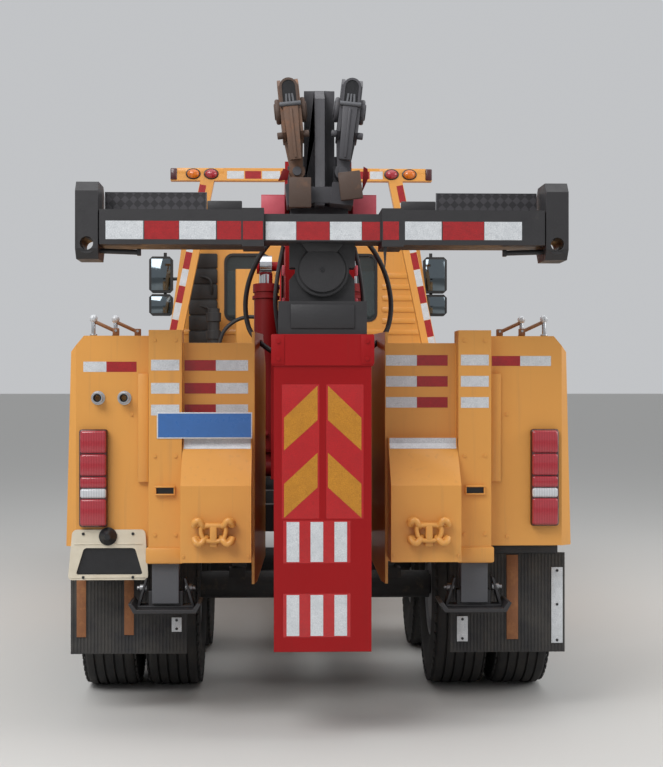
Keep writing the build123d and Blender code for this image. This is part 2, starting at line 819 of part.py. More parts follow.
def grille():
    # slats across the nose, proud of the skin
    low, high = grille_z
    pitch = (high - low) / grille_count
    slats = Part()
    for number in range(grille_count):
        z = low + number * pitch
        slats += side_plate([(nose_y - grille_t, z), (nose_y - 4, z), (nose_y, z + 8),
                             (nose_y, z + pitch * 0.7),
                             (nose_y - grille_t, z + pitch * 0.78)], (-grille_x, grille_x))
    return slats


def seats():
    low = cab_floor_z + cab_wall
    cushion = low + 0.25 * seat_h
    chair = Part()
    for x in (-seat_x, seat_x):
        chair += block((x - 0.38 * seat_w, x + 0.38 * seat_w), (seat_y, seat_y + 400), (low, cushion))
        chair += side_plate([(seat_y - 90, cushion), (seat_y + 450, cushion), (seat_y + 450, cushion + 150),
                             (seat_y + 40, cushion + 130), (seat_y - 90, low + seat_h),
                             (seat_y - 210, low + seat_h)],
                            (x - seat_w / 2, x + seat_w / 2), 25)
    return chair


def dashboard():
    low = cab_floor_z + cab_wall
    desk = side_plate([(nose_y - 300, low + 350), (nose_y - 90, low + 350), (nose_y - 90, waist_z - 20),
                       (nose_y - 250, waist_z - 20), (nose_y - 420, waist_z - 110)],
                      (desk_in - cab_w / 2, cab_w / 2 - desk_in))
    desk += block((-250, 250), (nose_y - 240, nose_y - 90), (cab_front_z + cab_wall, low + 351))
    middle = (wheel_x, nose_y - wheel_in, waist_z - 40)
    wheel_at = Plane(origin=middle, x_dir=(1, 0, 0), z_dir=(0, -0.5, 0.87))
    wheel = wheel_at * (Cylinder(wheel_r, 28) - Cylinder(wheel_r - 30, 28))
    wheel += wheel_at * Box(2 * wheel_r - 30, 40, 18)
    wheel += rod(middle, (wheel_x, nose_y - wheel_in + 230, waist_z - 230), 30)
    return desk + wheel


# Side boxes and lockers
def body_section(inset, beyond=0, proud=0):
    # the (x, z) outline of one side box, or a layer below or above its skin
    chamfer_x, chamfer_z = body_chamfer
    slope = (body_x - body_top_x) / (body_top - body_low)
    edge_x = body_x - slope * (body_top - chamfer_z - body_low)
    points = [(body_in_x, body_low), (body_x, body_low), (edge_x, body_top - chamfer_z),
              (edge_x - chamfer_x, body_top), (body_in_x, body_top)]
    face = Plane(origin=(0, tail_y, 0), x_dir=(1, 0, 0), z_dir=(0, -1, 0)) * Polygon(*points, align=None)
    if inset or proud:
        face = offset(face, proud - inset, kind=Kind.INTERSECTION)
    section = extrude(face, amount=body_front_y - tail_y, dir=(0, 1, 0))
    if beyond:
        # carried on past the inner wall, so that it cuts it open
        section += block((body_in_x - beyond, body_in_x + inset + 1), (tail_y, body_front_y),
                         (body_low + inset, body_top - inset))
    return section


def locker_span(number):
    # the (y, z) corners of one locker's opening
    first, last = arch_front_y + 50, tank_back_y - 50
    middle = (first + last) / 2
    y = ((first, middle - 25), (middle + 25, last))[number]
    return y, (body_low + 40, locker_top)


def locker_hinge(number, fixed):
    # knuckles along a line that follows the skin's lean, on the box or on the door
    y, z = locker_span(number)
    edge, inward = ((y[0], 1), (y[1], -1))[number]
    slope = (body_x - body_top_x) / (body_top - body_low)
    length = (z[1] - z[0] - 2 * panel_gap) / 3
    levels = (1,) if fixed else (0, 2)
    axis_y = edge + inward * panel_gap / 2
    knuckles = Part()
    for level in levels:
        low = z[0] + panel_gap + level * length
        span = (low + seat_gap, low + length - seat_gap)
        ends = [(body_x + locker_hinge_out - slope * (height - body_low), axis_y,
                 height) for height in span]
        knuckles += rod(ends[0], ends[1], locker_hinge_r)
        away = -inward if fixed else inward
        strap = body_section(0, 0, 0.8 * locker_hinge_out) - body_section(0, 0, 2)
        foot = body_section(0, 0, 0.8 * locker_hinge_out) - body_section(4)
        strap &= block((body_in_x + 200, body_x + 50), sorted((axis_y, axis_y + away * hinge_strap)), span)
        foot &= block((body_in_x + 200, body_x + 50),
                      sorted((axis_y + away * panel_gap, axis_y + away * hinge_strap)), span)
        knuckles += strap + foot
    return knuckles


def body_side():
    box = body_section(0)
    under = (-100, body_x + 100)
    arch = [(box_rear_y, 0), (arch_front_y, 0), (arch_front_y, arch_top), (box_rear_y, arch_top)]
    cut = side_plate(arch, under)
    cut = fillet(cut.edges().filter_by(Axis.X).sort_by(Axis.Z)[-2:], arch_r)
    box -= cut
    box -= block(under, (tail_y - 10, box_rear_y + 1), (0, box_rear_z))
    box -= block(under, (tank_back_y, body_front_y + 10), (0, tank_top))
    rear_edge = [(body_x - rear_corner, tail_y - 1), (body_x + 10, tail_y - 1),
                 (body_x + 10, tail_y + rear_corner)]
    box -= extrude(Pos(0, 0, body_low - 10) * Polygon(*rear_edge, align=None), amount=body_top,
                   dir=(0, 0, 1))
    room = body_section(body_wall)
    # stowage bays over the wheels and the tanks, open to the deck
    for y, low in (((tail_y + body_wall, arch_front_y - body_wall), arch_top),
                   ((tank_back_y + body_wall, body_front_y - body_wall), tank_top)):
        bay = block((body_in_x - 10, body_x), y, (low + body_wall, body_top))
        box -= bay & body_section(body_wall, body_wall + 10)
    for number in (0, 1):
        y, z = locker_span(number)
        inside = (body_in_x + body_wall, body_x + 50)
        box -= block(inside, y, z) & room
        box -= side_plate(outline_box(y, z), (body_in_x + 200, body_x + 50))
        # the flange the closed door rests on
        open_y = (y[0] + locker_stop, y[1] - locker_stop)
        open_z = (z[0] + locker_stop, z[1] - locker_stop)
        flange = body_section(locker_door_t + seat_gap) - body_section(locker_door_t + locker_stop / 2)
        flange &= side_plate(outline_box((y[0] - 1, y[1] + 1), (z[0] - 1, z[1] + 1)),
                             (body_in_x + 200, body_x + 50))
        box += flange - side_plate(outline_box(open_y, open_z), (body_in_x + 200, body_x + 50))
        box += locker_hinge(number, True)
    for seam in (arch_front_y, tank_back_y):
        box -= block(under, (seam - seat_gap, seam), (0, body_top + 10))
    return box


def locker_door(number):
    y, z = locker_span(number)
    edges = outline_box((y[0] + panel_gap, y[1] - panel_gap), (z[0] + panel_gap, z[1] - panel_gap))
    skin = body_section(0) - body_section(locker_door_t)
    return (skin & side_plate(edges, (body_in_x + 200, body_x + 50))) + locker_hinge(number, False)


# Tail
def tail_frame():
    inner, outer = panel_x
    panel = block(panel_x, (tail_y, tail_y + panel_t), panel_z)
    post = block(post_x, post_y, post_z)
    bore_half = leg_w / 2 + slide_gap
    post_mid = (post_x[0] + post_x[1]) / 2
    post -= block((post_mid - bore_half, post_mid + bore_half), (leg_y - bore_half, leg_y + bore_half),
                  (post_z[0] - 1, post_z[1] - 20))
    for side in (-1, 1):
        pad = sorted((leg_y + side * (leg_w / 2 + seat_gap), leg_y + side * (bore_half + 1)))
        post += block((post_mid - 45, post_mid + 45), pad, (post_z[0] + 20, post_z[0] + 20 + pad_len))
    beam = block((rail_x, post_x[0] + 1), tail_beam_y, tail_beam_z)
    beam += block((post_x[0], body_in_x), (post_y[1] - 1, tail_beam_y[1]), tail_beam_z)
    beam += block((inner + 60, rail_x + 1), (tail_y, rail_back_y), tail_beam_z)
    wing = [(inner, tail_y), (wing_front_x, wing_front_y), (wing_front_x + wing_t, wing_front_y),
            (inner + wing_t, tail_y)]
    low, mid, high = wing_z
    plate = extrude(Pos(0, 0, low) * Polygon(*wing, align=None), amount=high - low, dir=(0, 0, 1))
    shape = [(tail_y, low), (tail_y + 120, low), (wing_front_y, mid), (wing_front_y, high - 160),
             (wing_front_y - 120, high), (tail_y, high)]
    plate &= side_plate(shape, (wing_front_x - 20, inner + 50))
    floor_z, mid_z, top_z = hook_box_z
    sides = [(tail_y, floor_z), (tail_y - hook_box_out, floor_z), (tail_y - hook_box_out, mid_z),
             (tail_y - 60, top_z - 25), (tail_y - 60, top_z), (tail_y, top_z)]
    box = side_plate(sides, hook_box_x)
    wall = hook_box_wall
    hollow = [(tail_y - wall, floor_z - 1), (tail_y - hook_box_out + wall, floor_z - 1),
              (tail_y - hook_box_out + wall, mid_z - 8), (tail_y - 60, top_z - 25 - wall * 1.5),
              (tail_y - wall, top_z - 25 - wall * 1.5)]
    box -= side_plate(hollow, (hook_box_x[0] + wall, hook_box_x[1] - wall))
    return both(panel + post + beam + plate + box)


def tail_claws():
    # cast cross-shaped hooks on the face of each hook box
    face_y = tail_y - hook_box_out
    y = (face_y - claw_out, face_y)
    lean = atan2(claw_h, claw_w)
    claw = block((claw_x - claw_bar / 2, claw_x + claw_bar / 2), (face_y - claw_out - 8, face_y),
                 (claw_z - claw_h / 2, claw_z + claw_h / 2))
    for side in (-1, 1):
        half = hypot(claw_w, claw_h) / 2
        bar = block((-half, half), y, (-claw_bar / 2, claw_bar / 2))
        bar += block((half - 30, half), (y[0] - 26, y[1]), (-claw_bar / 2, claw_bar / 2))
        bar += block((-half, -half + 30), (y[0] - 26, y[1]), (-claw_bar / 2, claw_bar / 2))
        claw += Pos(claw_x, 0, claw_z) * Rot(0, side * degrees(lean), 0) * bar
    return both(claw)


def tail_lamps():
    lamp = block(tail_lamp_x, (tail_y - tail_lamp_t, tail_y), tail_lamp_z)
    return both(fillet(lamp.edges().filter_by(Axis.Y), 14))


def mudflaps():
    flap = block(flap_x, (flap_y, flap_y + flap_t), flap_z)
    hanger = block((body_in_x + 20, flap_x[1] - 40), (flap_y, flap_y + flap_t), (flap_z[1] - 1, box_rear_z))
    return both(flap + hanger)


def plate_frame():
    frame = block(plate_x, (tail_y - plate_t, tail_y), plate_z)
    frame -= block(plate_window_x, (tail_y - plate_t - 1, tail_y + 1), plate_window_z)
    middle = (plate_x[0] + plate_x[1]) / 2
    frame += block((middle - 45, middle + 45), (tail_y - plate_t - 26, tail_y),
                   (plate_z[1] - 52, plate_z[1] - 12))
    return frame


def air_couplings():
    pieces = Part()
    for x in air_x:
        body = rod((x, tail_y, air_z), (x, tail_y - 48, air_z), air_r)
        pieces += body - rod((x, tail_y - 20, air_z), (x, tail_y - 60, air_z), air_bore_r)
    return pieces


def control_levers():
    levers = Part()
    for x, y in zip(lever_x, lever_y):
        levers += rod((x - 110, y, body_top), (x - 110, y, body_top + 30), lever_r + 6)
        levers += rod((x - 110, y, body_top + 22), (x, y, body_top + lever_h), lever_r)
        levers += Pos(x, y, body_top + lever_h) * chamfer(Cylinder(ball_r, 1.6 * ball_r).edges(),
                                                          ball_r / 3)
    return both(levers)


def rear_leg():
    mid = (post_x[0] + post_x[1]) / 2
    half = leg_w / 2
    tube = block((mid - half, mid + half), (leg_y - half, leg_y + half), leg_z)
    tube -= block((mid - half + leg_wall, mid + half - leg_wall),
                  (leg_y - half + leg_wall, leg_y + half - leg_wall),
                  (leg_z[0] + 80, leg_z[1] + 1))
    yoke = block((mid - half - 18, mid + half + 18), (leg_y - 40, leg_y + 40),
                 (foot_z + foot_t - 1, leg_z[0] + 60))
    foot = [(mid - foot_x / 2, foot_z), (mid + foot_x / 2, foot_z), (mid + foot_x / 2 + 26, foot_z + 46),
            (mid + foot_x / 2 + 8, foot_z + 50), (mid + foot_x / 2 - 16, foot_z + foot_t),
            (mid - foot_x / 2 + 16, foot_z + foot_t), (mid - foot_x / 2 - 8, foot_z + 50),
            (mid - foot_x / 2 - 26, foot_z + 46)]
    return tube + yoke + rear_plate(foot, (leg_y - foot_y / 2, leg_y + foot_y / 2))


# Deck frame
def subframe():
    beam = block(sub_x, sub_y, sub_z)
    for y in bearer_y:
        beam += block((sub_x[1] - 1, body_in_x), (y - bearer_w / 2, y + bearer_w / 2), sub_z)
    front = (bearer_y[-1] - bearer_w / 2, body_front_y)
    beam += block((body_in_x - 80, body_x - 150), front, (sub_z[0], tank_top))
    foot_z_low = sub_z[1] - 1
    tower = [(tower_y[0], foot_z_low), (tower_y[1], foot_z_low), (pivot_y + 90, pivot_z),
             (pivot_y + 60, pivot_z + 90), (pivot_y - 60, pivot_z + 90), (pivot_y - 90, pivot_z)]
    plate = side_plate(tower, pivot_plate_x)
    plate += block((pivot_plate_x[0], sub_x[0] + 1), tower_y, sub_z)
    frame = both(beam + plate)
    for y in ((tower_y[0], tower_y[0] + tower_beam), (tower_y[1] - tower_beam, tower_y[1])):
        frame += block((-sub_x[0], sub_x[0]), y, sub_z)
    frame += cross_rod((-pivot_plate_x[1] - 15, pivot_plate_x[1] + 15), pivot_y, pivot_z, pivot_r)
    # seat of the lift cylinders between the rails
    base_y, base_z = lift_base
    seat_low = base_z - lift_eye_r - 38
    frame += block((-rail_x + rail_flange, rail_x - rail_flange), (base_y - 110, base_y + 110),
                   (seat_low, seat_low + 40))
    half = lift_eye_w / 2
    for x in ((lift_x - half - 25, lift_x - half - 5), (lift_x + half + 5, sub_x[0] + 1)):
        ear = [(base_y - 80, seat_low + 39), (base_y + 80, seat_low + 39), (base_y + 45, base_z + 50),
               (base_y - 45, base_z + 50)]
        frame += both(side_plate(ear, (x[0], min(x[1], sub_x[0]))))
    frame += both(cross_rod((lift_x - half - 25, lift_x + half + 25), base_y, base_z, lift_pin_r))
    return frame


# Boom, in its own frame: the pivot at the origin, the boom along -Y
def on_boom(shape):
    return Pos(0, pivot_y, pivot_z) * Rot(-boom_rise, 0, 0) * shape


def boom_profile(inset, length):
    half = boom_h / 2 - inset
    foot = boom_foot_h / 2 - inset
    return [(boom_back - inset, -foot), (boom_back - inset, foot), (-boom_taper / 3, half), (-length, half),
            (-length, -half),
            (-boom_taper, -half)]


def boom_outer():
    box = side_plate(boom_profile(0, boom_len), (-boom_x, boom_x))
    room_half = boom_h / 2 - boom_wall
    box -= block((-boom_x + boom_wall, boom_x - boom_wall), (-boom_len - 1, -boom_taper),
                 (-room_half, room_half))
    box += block((-pad_w / 2, pad_w / 2), (20 - boom_len, 20 + pad_len - boom_len),
                 (-room_half - 1, pad_t - room_half))
    box -= cross_rod((-boom_x - 1, boom_x + 1), 0, 0, pivot_r + turn_gap)
    # side plates of the two winches
    top = boom_h / 2
    for y in winch_at:
        foot, head, sunk, over = winch_cheek
        cheek = [(y - foot, top - sunk), (y + foot, top - sunk), (y + head, top + winch_up + over),
                 (y - head, top + winch_up + over)]
        for x in ((-boom_x, -boom_x + drum_plate_t), (boom_x - drum_plate_t, boom_x)):
            box += side_plate(cheek, x)
        box += cross_rod((-boom_x, boom_x), y, top + winch_up, 28)
    boom = on_boom(box)
    # ears and pins of the lift cylinders' rods
    eye_y, eye_z = lift_eye
    ear = [(eye_y - 260, eye_z - 500), (eye_y + 260, eye_z - 560), (eye_y + 70, eye_z + 40),
           (eye_y + 30, eye_z + 75),
           (eye_y - 30, eye_z + 75), (eye_y - 70, eye_z + 40)]
    x_out = boom_x + 22
    boom += both(side_plate(ear, (boom_x - 1, x_out)))
    boom += both(cross_rod((boom_x, lift_x + lift_eye_w / 2 + 22), eye_y, eye_z, lift_pin_r))
    boom += both(cross_rod((lift_x + lift_eye_w / 2 + 6, lift_x + lift_eye_w / 2 + 22), eye_y, eye_z,
                           lift_pin_r + 18))
    # upper corner blocks at the tail end
    boom += both(block((boom_x - 1, corner_x), corner_y, corner_z))
    return boom


def inner_half():
    return boom_h / 2 - boom_wall - slide_gap


def boom_inner():
    half = inner_half()
    wide = boom_x - boom_wall - slide_gap
    box = block((-wide, wide), (-boom_len - inner_out, -boom_len + inner_start), (-half, half))
    box -= block((-wide + boom_wall, wide - boom_wall), (-boom_len + 200, -boom_len + inner_start + 1),
                 (-half + boom_wall, half - boom_wall))
    pad_end = inner_start - boom_len - 20
    box += block((-pad_w / 2, pad_w / 2), (pad_end - pad_len, pad_end), (half - 1, half + pad_t))
    boom = on_boom(box)
    # two tilted blocks, a rib and a plate at the tip, which carry the two sheave heads
    face_y = head_y + 98
    low, high = saddle_z
    saddle = [(head_y - 85, low), (face_y + 60, low), (face_y + 60, high), (head_y - 100, high)]
    turn = Pos(sheave_x, 0, head_pin_z) * Rot(0, saddle_tilt, 0) * Pos(-sheave_x, 0, -head_pin_z)
    boom += both(turn * side_plate(saddle, saddle_x))
    boom += side_plate([(head_y - 45, low + 12), (face_y + 60, low + 12), (face_y + 60, high - 12),
                        (head_y - 45, high - 12)],
                       (-saddle_x[0] - 20, saddle_x[0] + 20))
    low, high = head_z
    panel = [(face_y, low), (face_y + 60, low), (face_y + 60, high - 320), (face_y + 26, high - 260),
             (face_y + 26, high), (face_y, high)]
    boom += side_plate(panel, (-head_x, head_x))
    rib = [(head_y - 45, saddle_z[0]), (face_y + 1, saddle_z[0]), (face_y + 1, high),
           (head_y - 35, high - 60)]
    boom += side_plate(rib, (-head_rib, head_rib))
    pin_y = (head_y - 70, face_y - 12)
    boom += both(rod((sheave_x, pin_y[1], head_pin_z), (sheave_x, pin_y[0], head_pin_z), head_pin_r))
    boom += both(block((sheave_x - 45, sheave_x + 45), (pin_y[1] - 26, pin_y[1]),
                       (saddle_z[1] - 1, head_pin_z + 40)))
    return boom


def sheave_head(side):
    # a swinging block with a grooved sheave between two cheeks
    lean = side * head_tilt
    y = head_y
    half = sheave_w / 2
    up = sheave_z - head_pin_z
    arm = rear_plate([(-30, 10), (30, 10), (half + cheek_t, up - cheek_r + 60),
                      (-half - cheek_t, up - cheek_r + 60)],
                     (y - 55, y + 46))
    eye = rod((0, y - 55, 0), (0, y + 46, 0), 40)
    head = arm + eye
    for x in ((-half - cheek_t, -half), (half, half + cheek_t)):
        cheek = cross_rod(x, y, up, cheek_r)
        cheek &= block((-200, 200), (y - 110, y + 90), (up - cheek_r, up + cheek_r))
        head += cheek
    groove = [(-half, 0), (-half, sheave_r), (-6, sheave_r - 26), (6, sheave_r - 26), (half, sheave_r),
              (half, 0)]
    head += turned(groove, y, up) & block((-200, 200), (y - 105, y + 85), (0, up + cheek_r))
    head += cross_rod((-half - cheek_t - 14, half + cheek_t + 14), y, up, 34)
    head -= rod((0, y - 200, 0), (0, y + 200, 0), head_pin_r + turn_gap)
    return Pos(side * sheave_x, 0, head_pin_z) * Rot(0, lean, 0) * head


def winch_drum(y):
    half = drum_w / 2
    bore = 28 + turn_gap
    points = [(-half, bore), (-half, drum_flange_r), (-half + 16, drum_flange_r), (-half + 16, drum_core_r),
              (half - 16, drum_core_r), (half - 16, drum_flange_r), (half, drum_flange_r), (half, bore)]
    return on_boom(turned(points, y, boom_h / 2 + winch_up))


# Lift cylinders
def lift_frame():
    # the cylinder's own plane: origin at the base pin, Z along the rod
    base_y, base_z = lift_base
    eye_y, eye_z = lift_eye
    run = Vector(0, eye_y - base_y, eye_z - base_z)
    return Plane(origin=(lift_x, base_y, base_z), x_dir=(1, 0, 0), z_dir=run), run.length


def lift_barrels():
    frame = lift_frame()[0]
    bottom = (Align.CENTER, Align.CENTER, Align.MIN)
    barrel = Pos(0, 0, 100) * Cylinder(lift_r, lift_barrel_len - 100, align=bottom)
    barrel += Cylinder(lift_rod_r, 110, align=bottom)
    barrel -= Pos(0, 0, 110) * Cylinder(lift_rod_r + slide_gap, lift_barrel_len, align=bottom)
    barrel += Pos(0, 0, lift_barrel_len - 55) * (Cylinder(lift_r + 8, 55, align=bottom)
                                                - Cylinder(lift_rod_r + turn_gap, 55, align=bottom))
    barrel += Rot(0, 90, 0) * Cylinder(lift_eye_r - 12, lift_eye_w)
    barrel -= Rot(0, 90, 0) * Cylinder(lift_pin_r + turn_gap, lift_eye_w + 10)
    return both(frame * barrel)


def lift_rods():
    frame, length = lift_frame()
    bottom = (Align.CENTER, Align.CENTER, Align.MIN)
    low = 115
    bar = Pos(0, 0, low) * Cylinder(lift_rod_r, length - low - lift_eye_r + 25, align=bottom)
    bar += Pos(0, 0, length) * Rot(0, 90, 0) * Cylinder(lift_eye_r, lift_eye_w)
    bar -= Pos(0, 0, length) * Rot(0, 90, 0) * Cylinder(lift_pin_r + lift_eye_slack, lift_eye_w + 10)
    return both(frame * bar)


# Mast
def mast():
    low, high = mast_z
    column = block((-mast_x, mast_x), mast_y, mast_z)
    column -= block((-mast_x + mast_wall, mast_x - mast_wall),
                    (mast_y[0] + mast_wall, mast_y[1] - mast_wall),
                    (low - 1, high + 1))
    column += both(block(cheek_plate_x, (tail_y + 20, tail_y + 240), cheek_plate_z))
    lug = [(mast_y[0] + 180, low + 40), (mast_y[0] + 10, low + 330), (fold_y - 40, fold_z + 52),
           (fold_y + 44, fold_z - 48)]
    for x in (mast_lug_x, (-mast_lug_x[1], -mast_lug_x[0])):
        column += side_plate(lug, x)
        column += cross_rod(x, fold_y, fold_z, fold_boss_r)
    column += cross_rod((-stinger_lug_x[1] - 16, stinger_lug_x[1] + 16), fold_y, fold_z, fold_r)
    boom_space = on_boom(side_plate(boom_profile(0, boom_len + mast_y[1] - mast_y[0]),
                                    (-boom_x - 1, boom_x + 1)))
    return column - boom_space


# Underlift
def stinger_outer():
    low, high = stinger_z
    tube = block((-stinger_x, stinger_x), stinger_y, stinger_z)
    tube -= block((-stinger_x + stinger_wall, stinger_x - stinger_wall),
                  (stinger_y[0] + stinger_wall, stinger_y[1] - stinger_wall), (low + 40, high + 1))
    grown = (stinger_y[0] - collar_t, stinger_y[1] + collar_t)
    collar = block((-stinger_x - collar_t, stinger_x + collar_t), grown, (high - collar_h, high))
    collar -= block((-stinger_x + 5, stinger_x - 5), (stinger_y[0] + 5, stinger_y[1] - 5), (low, high + 1))
    tube += collar
    for face, side in ((stinger_y[0] + stinger_wall, 1), (stinger_y[1] - stinger_wall, -1)):
        pad = sorted((face - side, face + side * pad_t))
        tube += block((-pad_w / 2, pad_w / 2), pad, (high - 20 - pad_len, high - 20))
    ear = [(stinger_y[1] - 1, fold_z - 120), (fold_y + 20, fold_z - 62), (fold_y + 62, fold_z + 20),
           (stinger_y[1] - 1, fold_z + 190)]
    for x in (stinger_lug_x, (-stinger_lug_x[1], -stinger_lug_x[0])):
        plate = side_plate(ear, x) + cross_rod(x, fold_y, fold_z, fold_boss_r)
        tube += plate - cross_rod((x[0] - 1, x[1] + 1), fold_y, fold_z, fold_r + turn_gap)
    return tube


def stinger_inner():
    gap = stinger_wall + slide_gap
    x = (-stinger_x + gap, stinger_x - gap)
    y = (stinger_y[0] + gap, stinger_y[1] - gap)
    bar = block(x, y, (inner_low, inner_top))
    bar -= block((x[0] + 15, x[1] - 15), (y[0] + 15, y[1] - 15), (inner_low - 1, inner_top - 30))
    for face, side in ((y[0], -1), (y[1], 1)):
        pad = sorted((face - side, face + side * pad_t))
        bar += block((-pad_w / 2, pad_w / 2), pad, (inner_low + 20, inner_low + 20 + pad_len))
    tongue = block((-tongue_x, tongue_x), tongue_y, (inner_top - 1, swivel_z - 45))
    tongue += rod((0, tongue_y[0], swivel_z), (0, tongue_y[1], swivel_z), disc_r - 8)
    tongue += rear_plate([(-tongue_x, swivel_z - 46), (tongue_x, swivel_z - 46), (92, swivel_z + 30),
                          (-92, swivel_z + 30)], tongue_y)
    tongue -= rod((0, tongue_y[0] - 1, swivel_z), (0, tongue_y[1] + 1, swivel_z), swivel_r + turn_gap)
    return bar + tongue


def crossbar():
    low, high = bar_z - bar_h / 2, bar_z + bar_h / 2
    bar = block((-bar_x, bar_x), (bar_y[0] + 20, bar_y[1] - 20), (low, high))
    # the fork that holds the tongue
    for y in ((tongue_y[0] - fork_gap - fork_t, tongue_y[0] - fork_gap),
              (tongue_y[1] + fork_gap, tongue_y[1] + fork_gap + fork_t)):
        bar += rod((0, y[0], swivel_z), (0, y[1], swivel_z), disc_r + 14)
        bar += block((-tongue_x, tongue_x), y, (swivel_z + 10, low + 1))
    bar += rod((0, tongue_y[0] - fork_gap - fork_t - 14, swivel_z),
               (0, tongue_y[1] + fork_gap + fork_t + 14, swivel_z), swivel_r)
    half = arm_tube_h / 2
    tube = block(arm_tube_x, bar_y, (bar_z - half, bar_z + half))
    tube -= block((arm_tube_x[0] + 60, arm_tube_x[1] + 1), (bar_y[0] + arm_wall, bar_y[1] - arm_wall),
                  (bar_z - half + arm_wall, bar_z + half - arm_wall))
    collar = block((arm_tube_x[0], arm_tube_x[0] + 100), (bar_y[0], bar_y[1] + 8),
                   (bar_z - half - 8, bar_z + half + 8))
    tube += collar - block((arm_tube_x[0] + 60, arm_tube_x[1]), (bar_y[0] + arm_wall, bar_y[1] - arm_wall),
                           (bar_z - half + arm_wall, bar_z + half - arm_wall))
    floor = bar_z - half + arm_wall
    tube += block((arm_tube_x[1] - 20 - pad_len, arm_tube_x[1] - 20), (bar_y[0] + 60, bar_y[1] - 60),
                  (floor - 1, floor + pad_t))
    tread = side_plate([(bar_y[1] - 60, bar_z + half - 1), (bar_y[1] - 60 + tread_t, bar_z + half - 1),
                        (bar_y[1] - 60 + tread_t, tread_z[1]), (bar_y[1] - 60, tread_z[1])], tread_x)
    return bar + both(tube + tread)


def crossbar_arm():
    gap = arm_wall + slide_gap
    half = arm_tube_h / 2 - gap
    bar = block((arm_in_x, arm_head_x[0] + 1), (bar_y[0] + gap, bar_y[1] - gap),
                (bar_z - half, bar_z + half))
    bar += block((arm_in_x + 10, arm_in_x + 10 + pad_len), (bar_y[0] + 60, bar_y[1] - 60),
                 (bar_z + half - 1, bar_z + half + pad_t))
    low, high = arm_head_z
    cut = arm_head_chamfer
    head = side_plate([(bar_y[0] + cut, low), (bar_y[1] - cut, low), (bar_y[1], low + cut),
                       (bar_y[1], high - cut),
                       (bar_y[1] - cut, high), (bar_y[0] + cut, high), (bar_y[0], high - cut),
                       (bar_y[0], low + cut)], arm_head_x)
    mid_x = (arm_head_x[0] + arm_head_x[1]) / 2
    head -= rod((mid_x, bar_y[0] - 1, fork_bore_z), (mid_x, bar_y[1] + 1, fork_bore_z), fork_bore_r)
    return bar + head


# Frame behind the cab, its lamps and the air intake
def gantry():
    foot = block(gantry_foot_x, (gantry_y[0] - 40, gantry_y[1] + 40), (body_top, body_top + gantry_foot_t))
    low = body_top + gantry_foot_t - 1
    post = rear_plate([(gantry_low_x - gantry_post_w, low), (gantry_low_x, low),
                       (gantry_top_x, gantry_beam_z[0] + 1),
                       (gantry_top_x - gantry_post_w, gantry_beam_z[0] + 1)], gantry_y)
    beam = block((-gantry_beam_x, gantry_beam_x), gantry_y, gantry_beam_z)
    beam += block((-gantry_mid_x, gantry_mid_x), gantry_y, (gantry_beam_z[1] - 1, gantry_top))
    return both(foot + post) + beam


def gantry_lamps():
    lamps = Part()
    middle = (gantry_y[0] + gantry_y[1]) / 2
    for x in beacon_x:
        dome = rod((x, middle, gantry_beam_z[1]), (x, middle, gantry_top), beacon_r * 0.75)
        lamps += chamfer(dome.edges().sort_by(Axis.Z)[-1], 18)
    lamps += block((gantry_beam_x - 70, gantry_beam_x), gantry_y, (gantry_beam_z[1], gantry_top - 5))
    return both(lamps)


def air_intake():
    # a box beside a ribbed snorkel, both standing on the deck behind the cab
    box = fillet(block(intake_x, intake_y, intake_z).edges().filter_by(Axis.Z), 20)
    middle_x = (snorkel_x[0] + snorkel_x[1]) / 2
    middle_y = (snorkel_y[0] + snorkel_y[1]) / 2
    radius = (snorkel_x[1] - snorkel_x[0]) / 2
    low, high = snorkel_z
    pipe = rod((middle_x, middle_y, low), (middle_x, middle_y, high), radius - 12)
    pitch = (high - low) / snorkel_ribs
    for number in range(snorkel_ribs):
        z = low + (number + 0.25) * pitch
        pipe += rod((middle_x, middle_y, z), (middle_x, middle_y, z + pitch / 2), radius)
    return box, pipe


cab, door, door_glass, cab_glass = cab_pieces()
intake_box, snorkel = air_intake()
right_tyre = {"front": tyre(front_wheel_x, front_axle_y)}
right_rim = {"front": front_rim(front_axle_y)}
for name, y in (("mid", mid_axle_y), ("rear", rear_axle_y)):
    right_tyre[name] = tyre(twin_x - twin_pitch / 2, y) + tyre(twin_x + twin_pitch / 2, y)
    right_rim[name] = twin_rim(y)

nodes = {
    "frame_rails": frame_rails(),
    "subframe": subframe(),
    "front_axle": front_axle() + front_springs(),
    "rear_axles": rear_axle(mid_axle_y) + rear_axle(rear_axle_y) + rear_springs() + prop_shafts(),
    "engine": engine(),
    "tank_and_battery": fuel_tank() + battery_box(),
    "bumper": bumper() + tow_eyes() + cab_steps(),
    "splash_guards": mudguards() + mudflaps(),
    "lamps": headlamps() + tail_lamps() + gantry_lamps(),
    "side_boxes": both(body_side()),
    "tail_frame": tail_frame(),
    "tail_claws": tail_claws(),
    "rear_fittings": plate_frame() + air_couplings() + control_levers(),
    "gantry": gantry() + intake_box,
    "snorkel": snorkel,
    "cab_shell": cab,
    "cab_glass": cab_glass,
    "grille": grille(),
    "cab_interior": seats() + dashboard(),
    "boom_outer": boom_outer(),
    "mast": mast(),
    "boom_inner": boom_inner(),
    "sheave_head_right": sheave_head(1),
    "sheave_head_left": sheave_head(-1),
    "winch_drum_rear": winch_drum(winch_at[1]),
    "winch_drum_front": winch_drum(winch_at[0]),
    "lift_barrels": lift_barrels(),
    "lift_rods": lift_rods(),
    "stinger_outer": stinger_outer(),
    "stinger_inner": stinger_inner(),
    "crossbar": crossbar(),
}
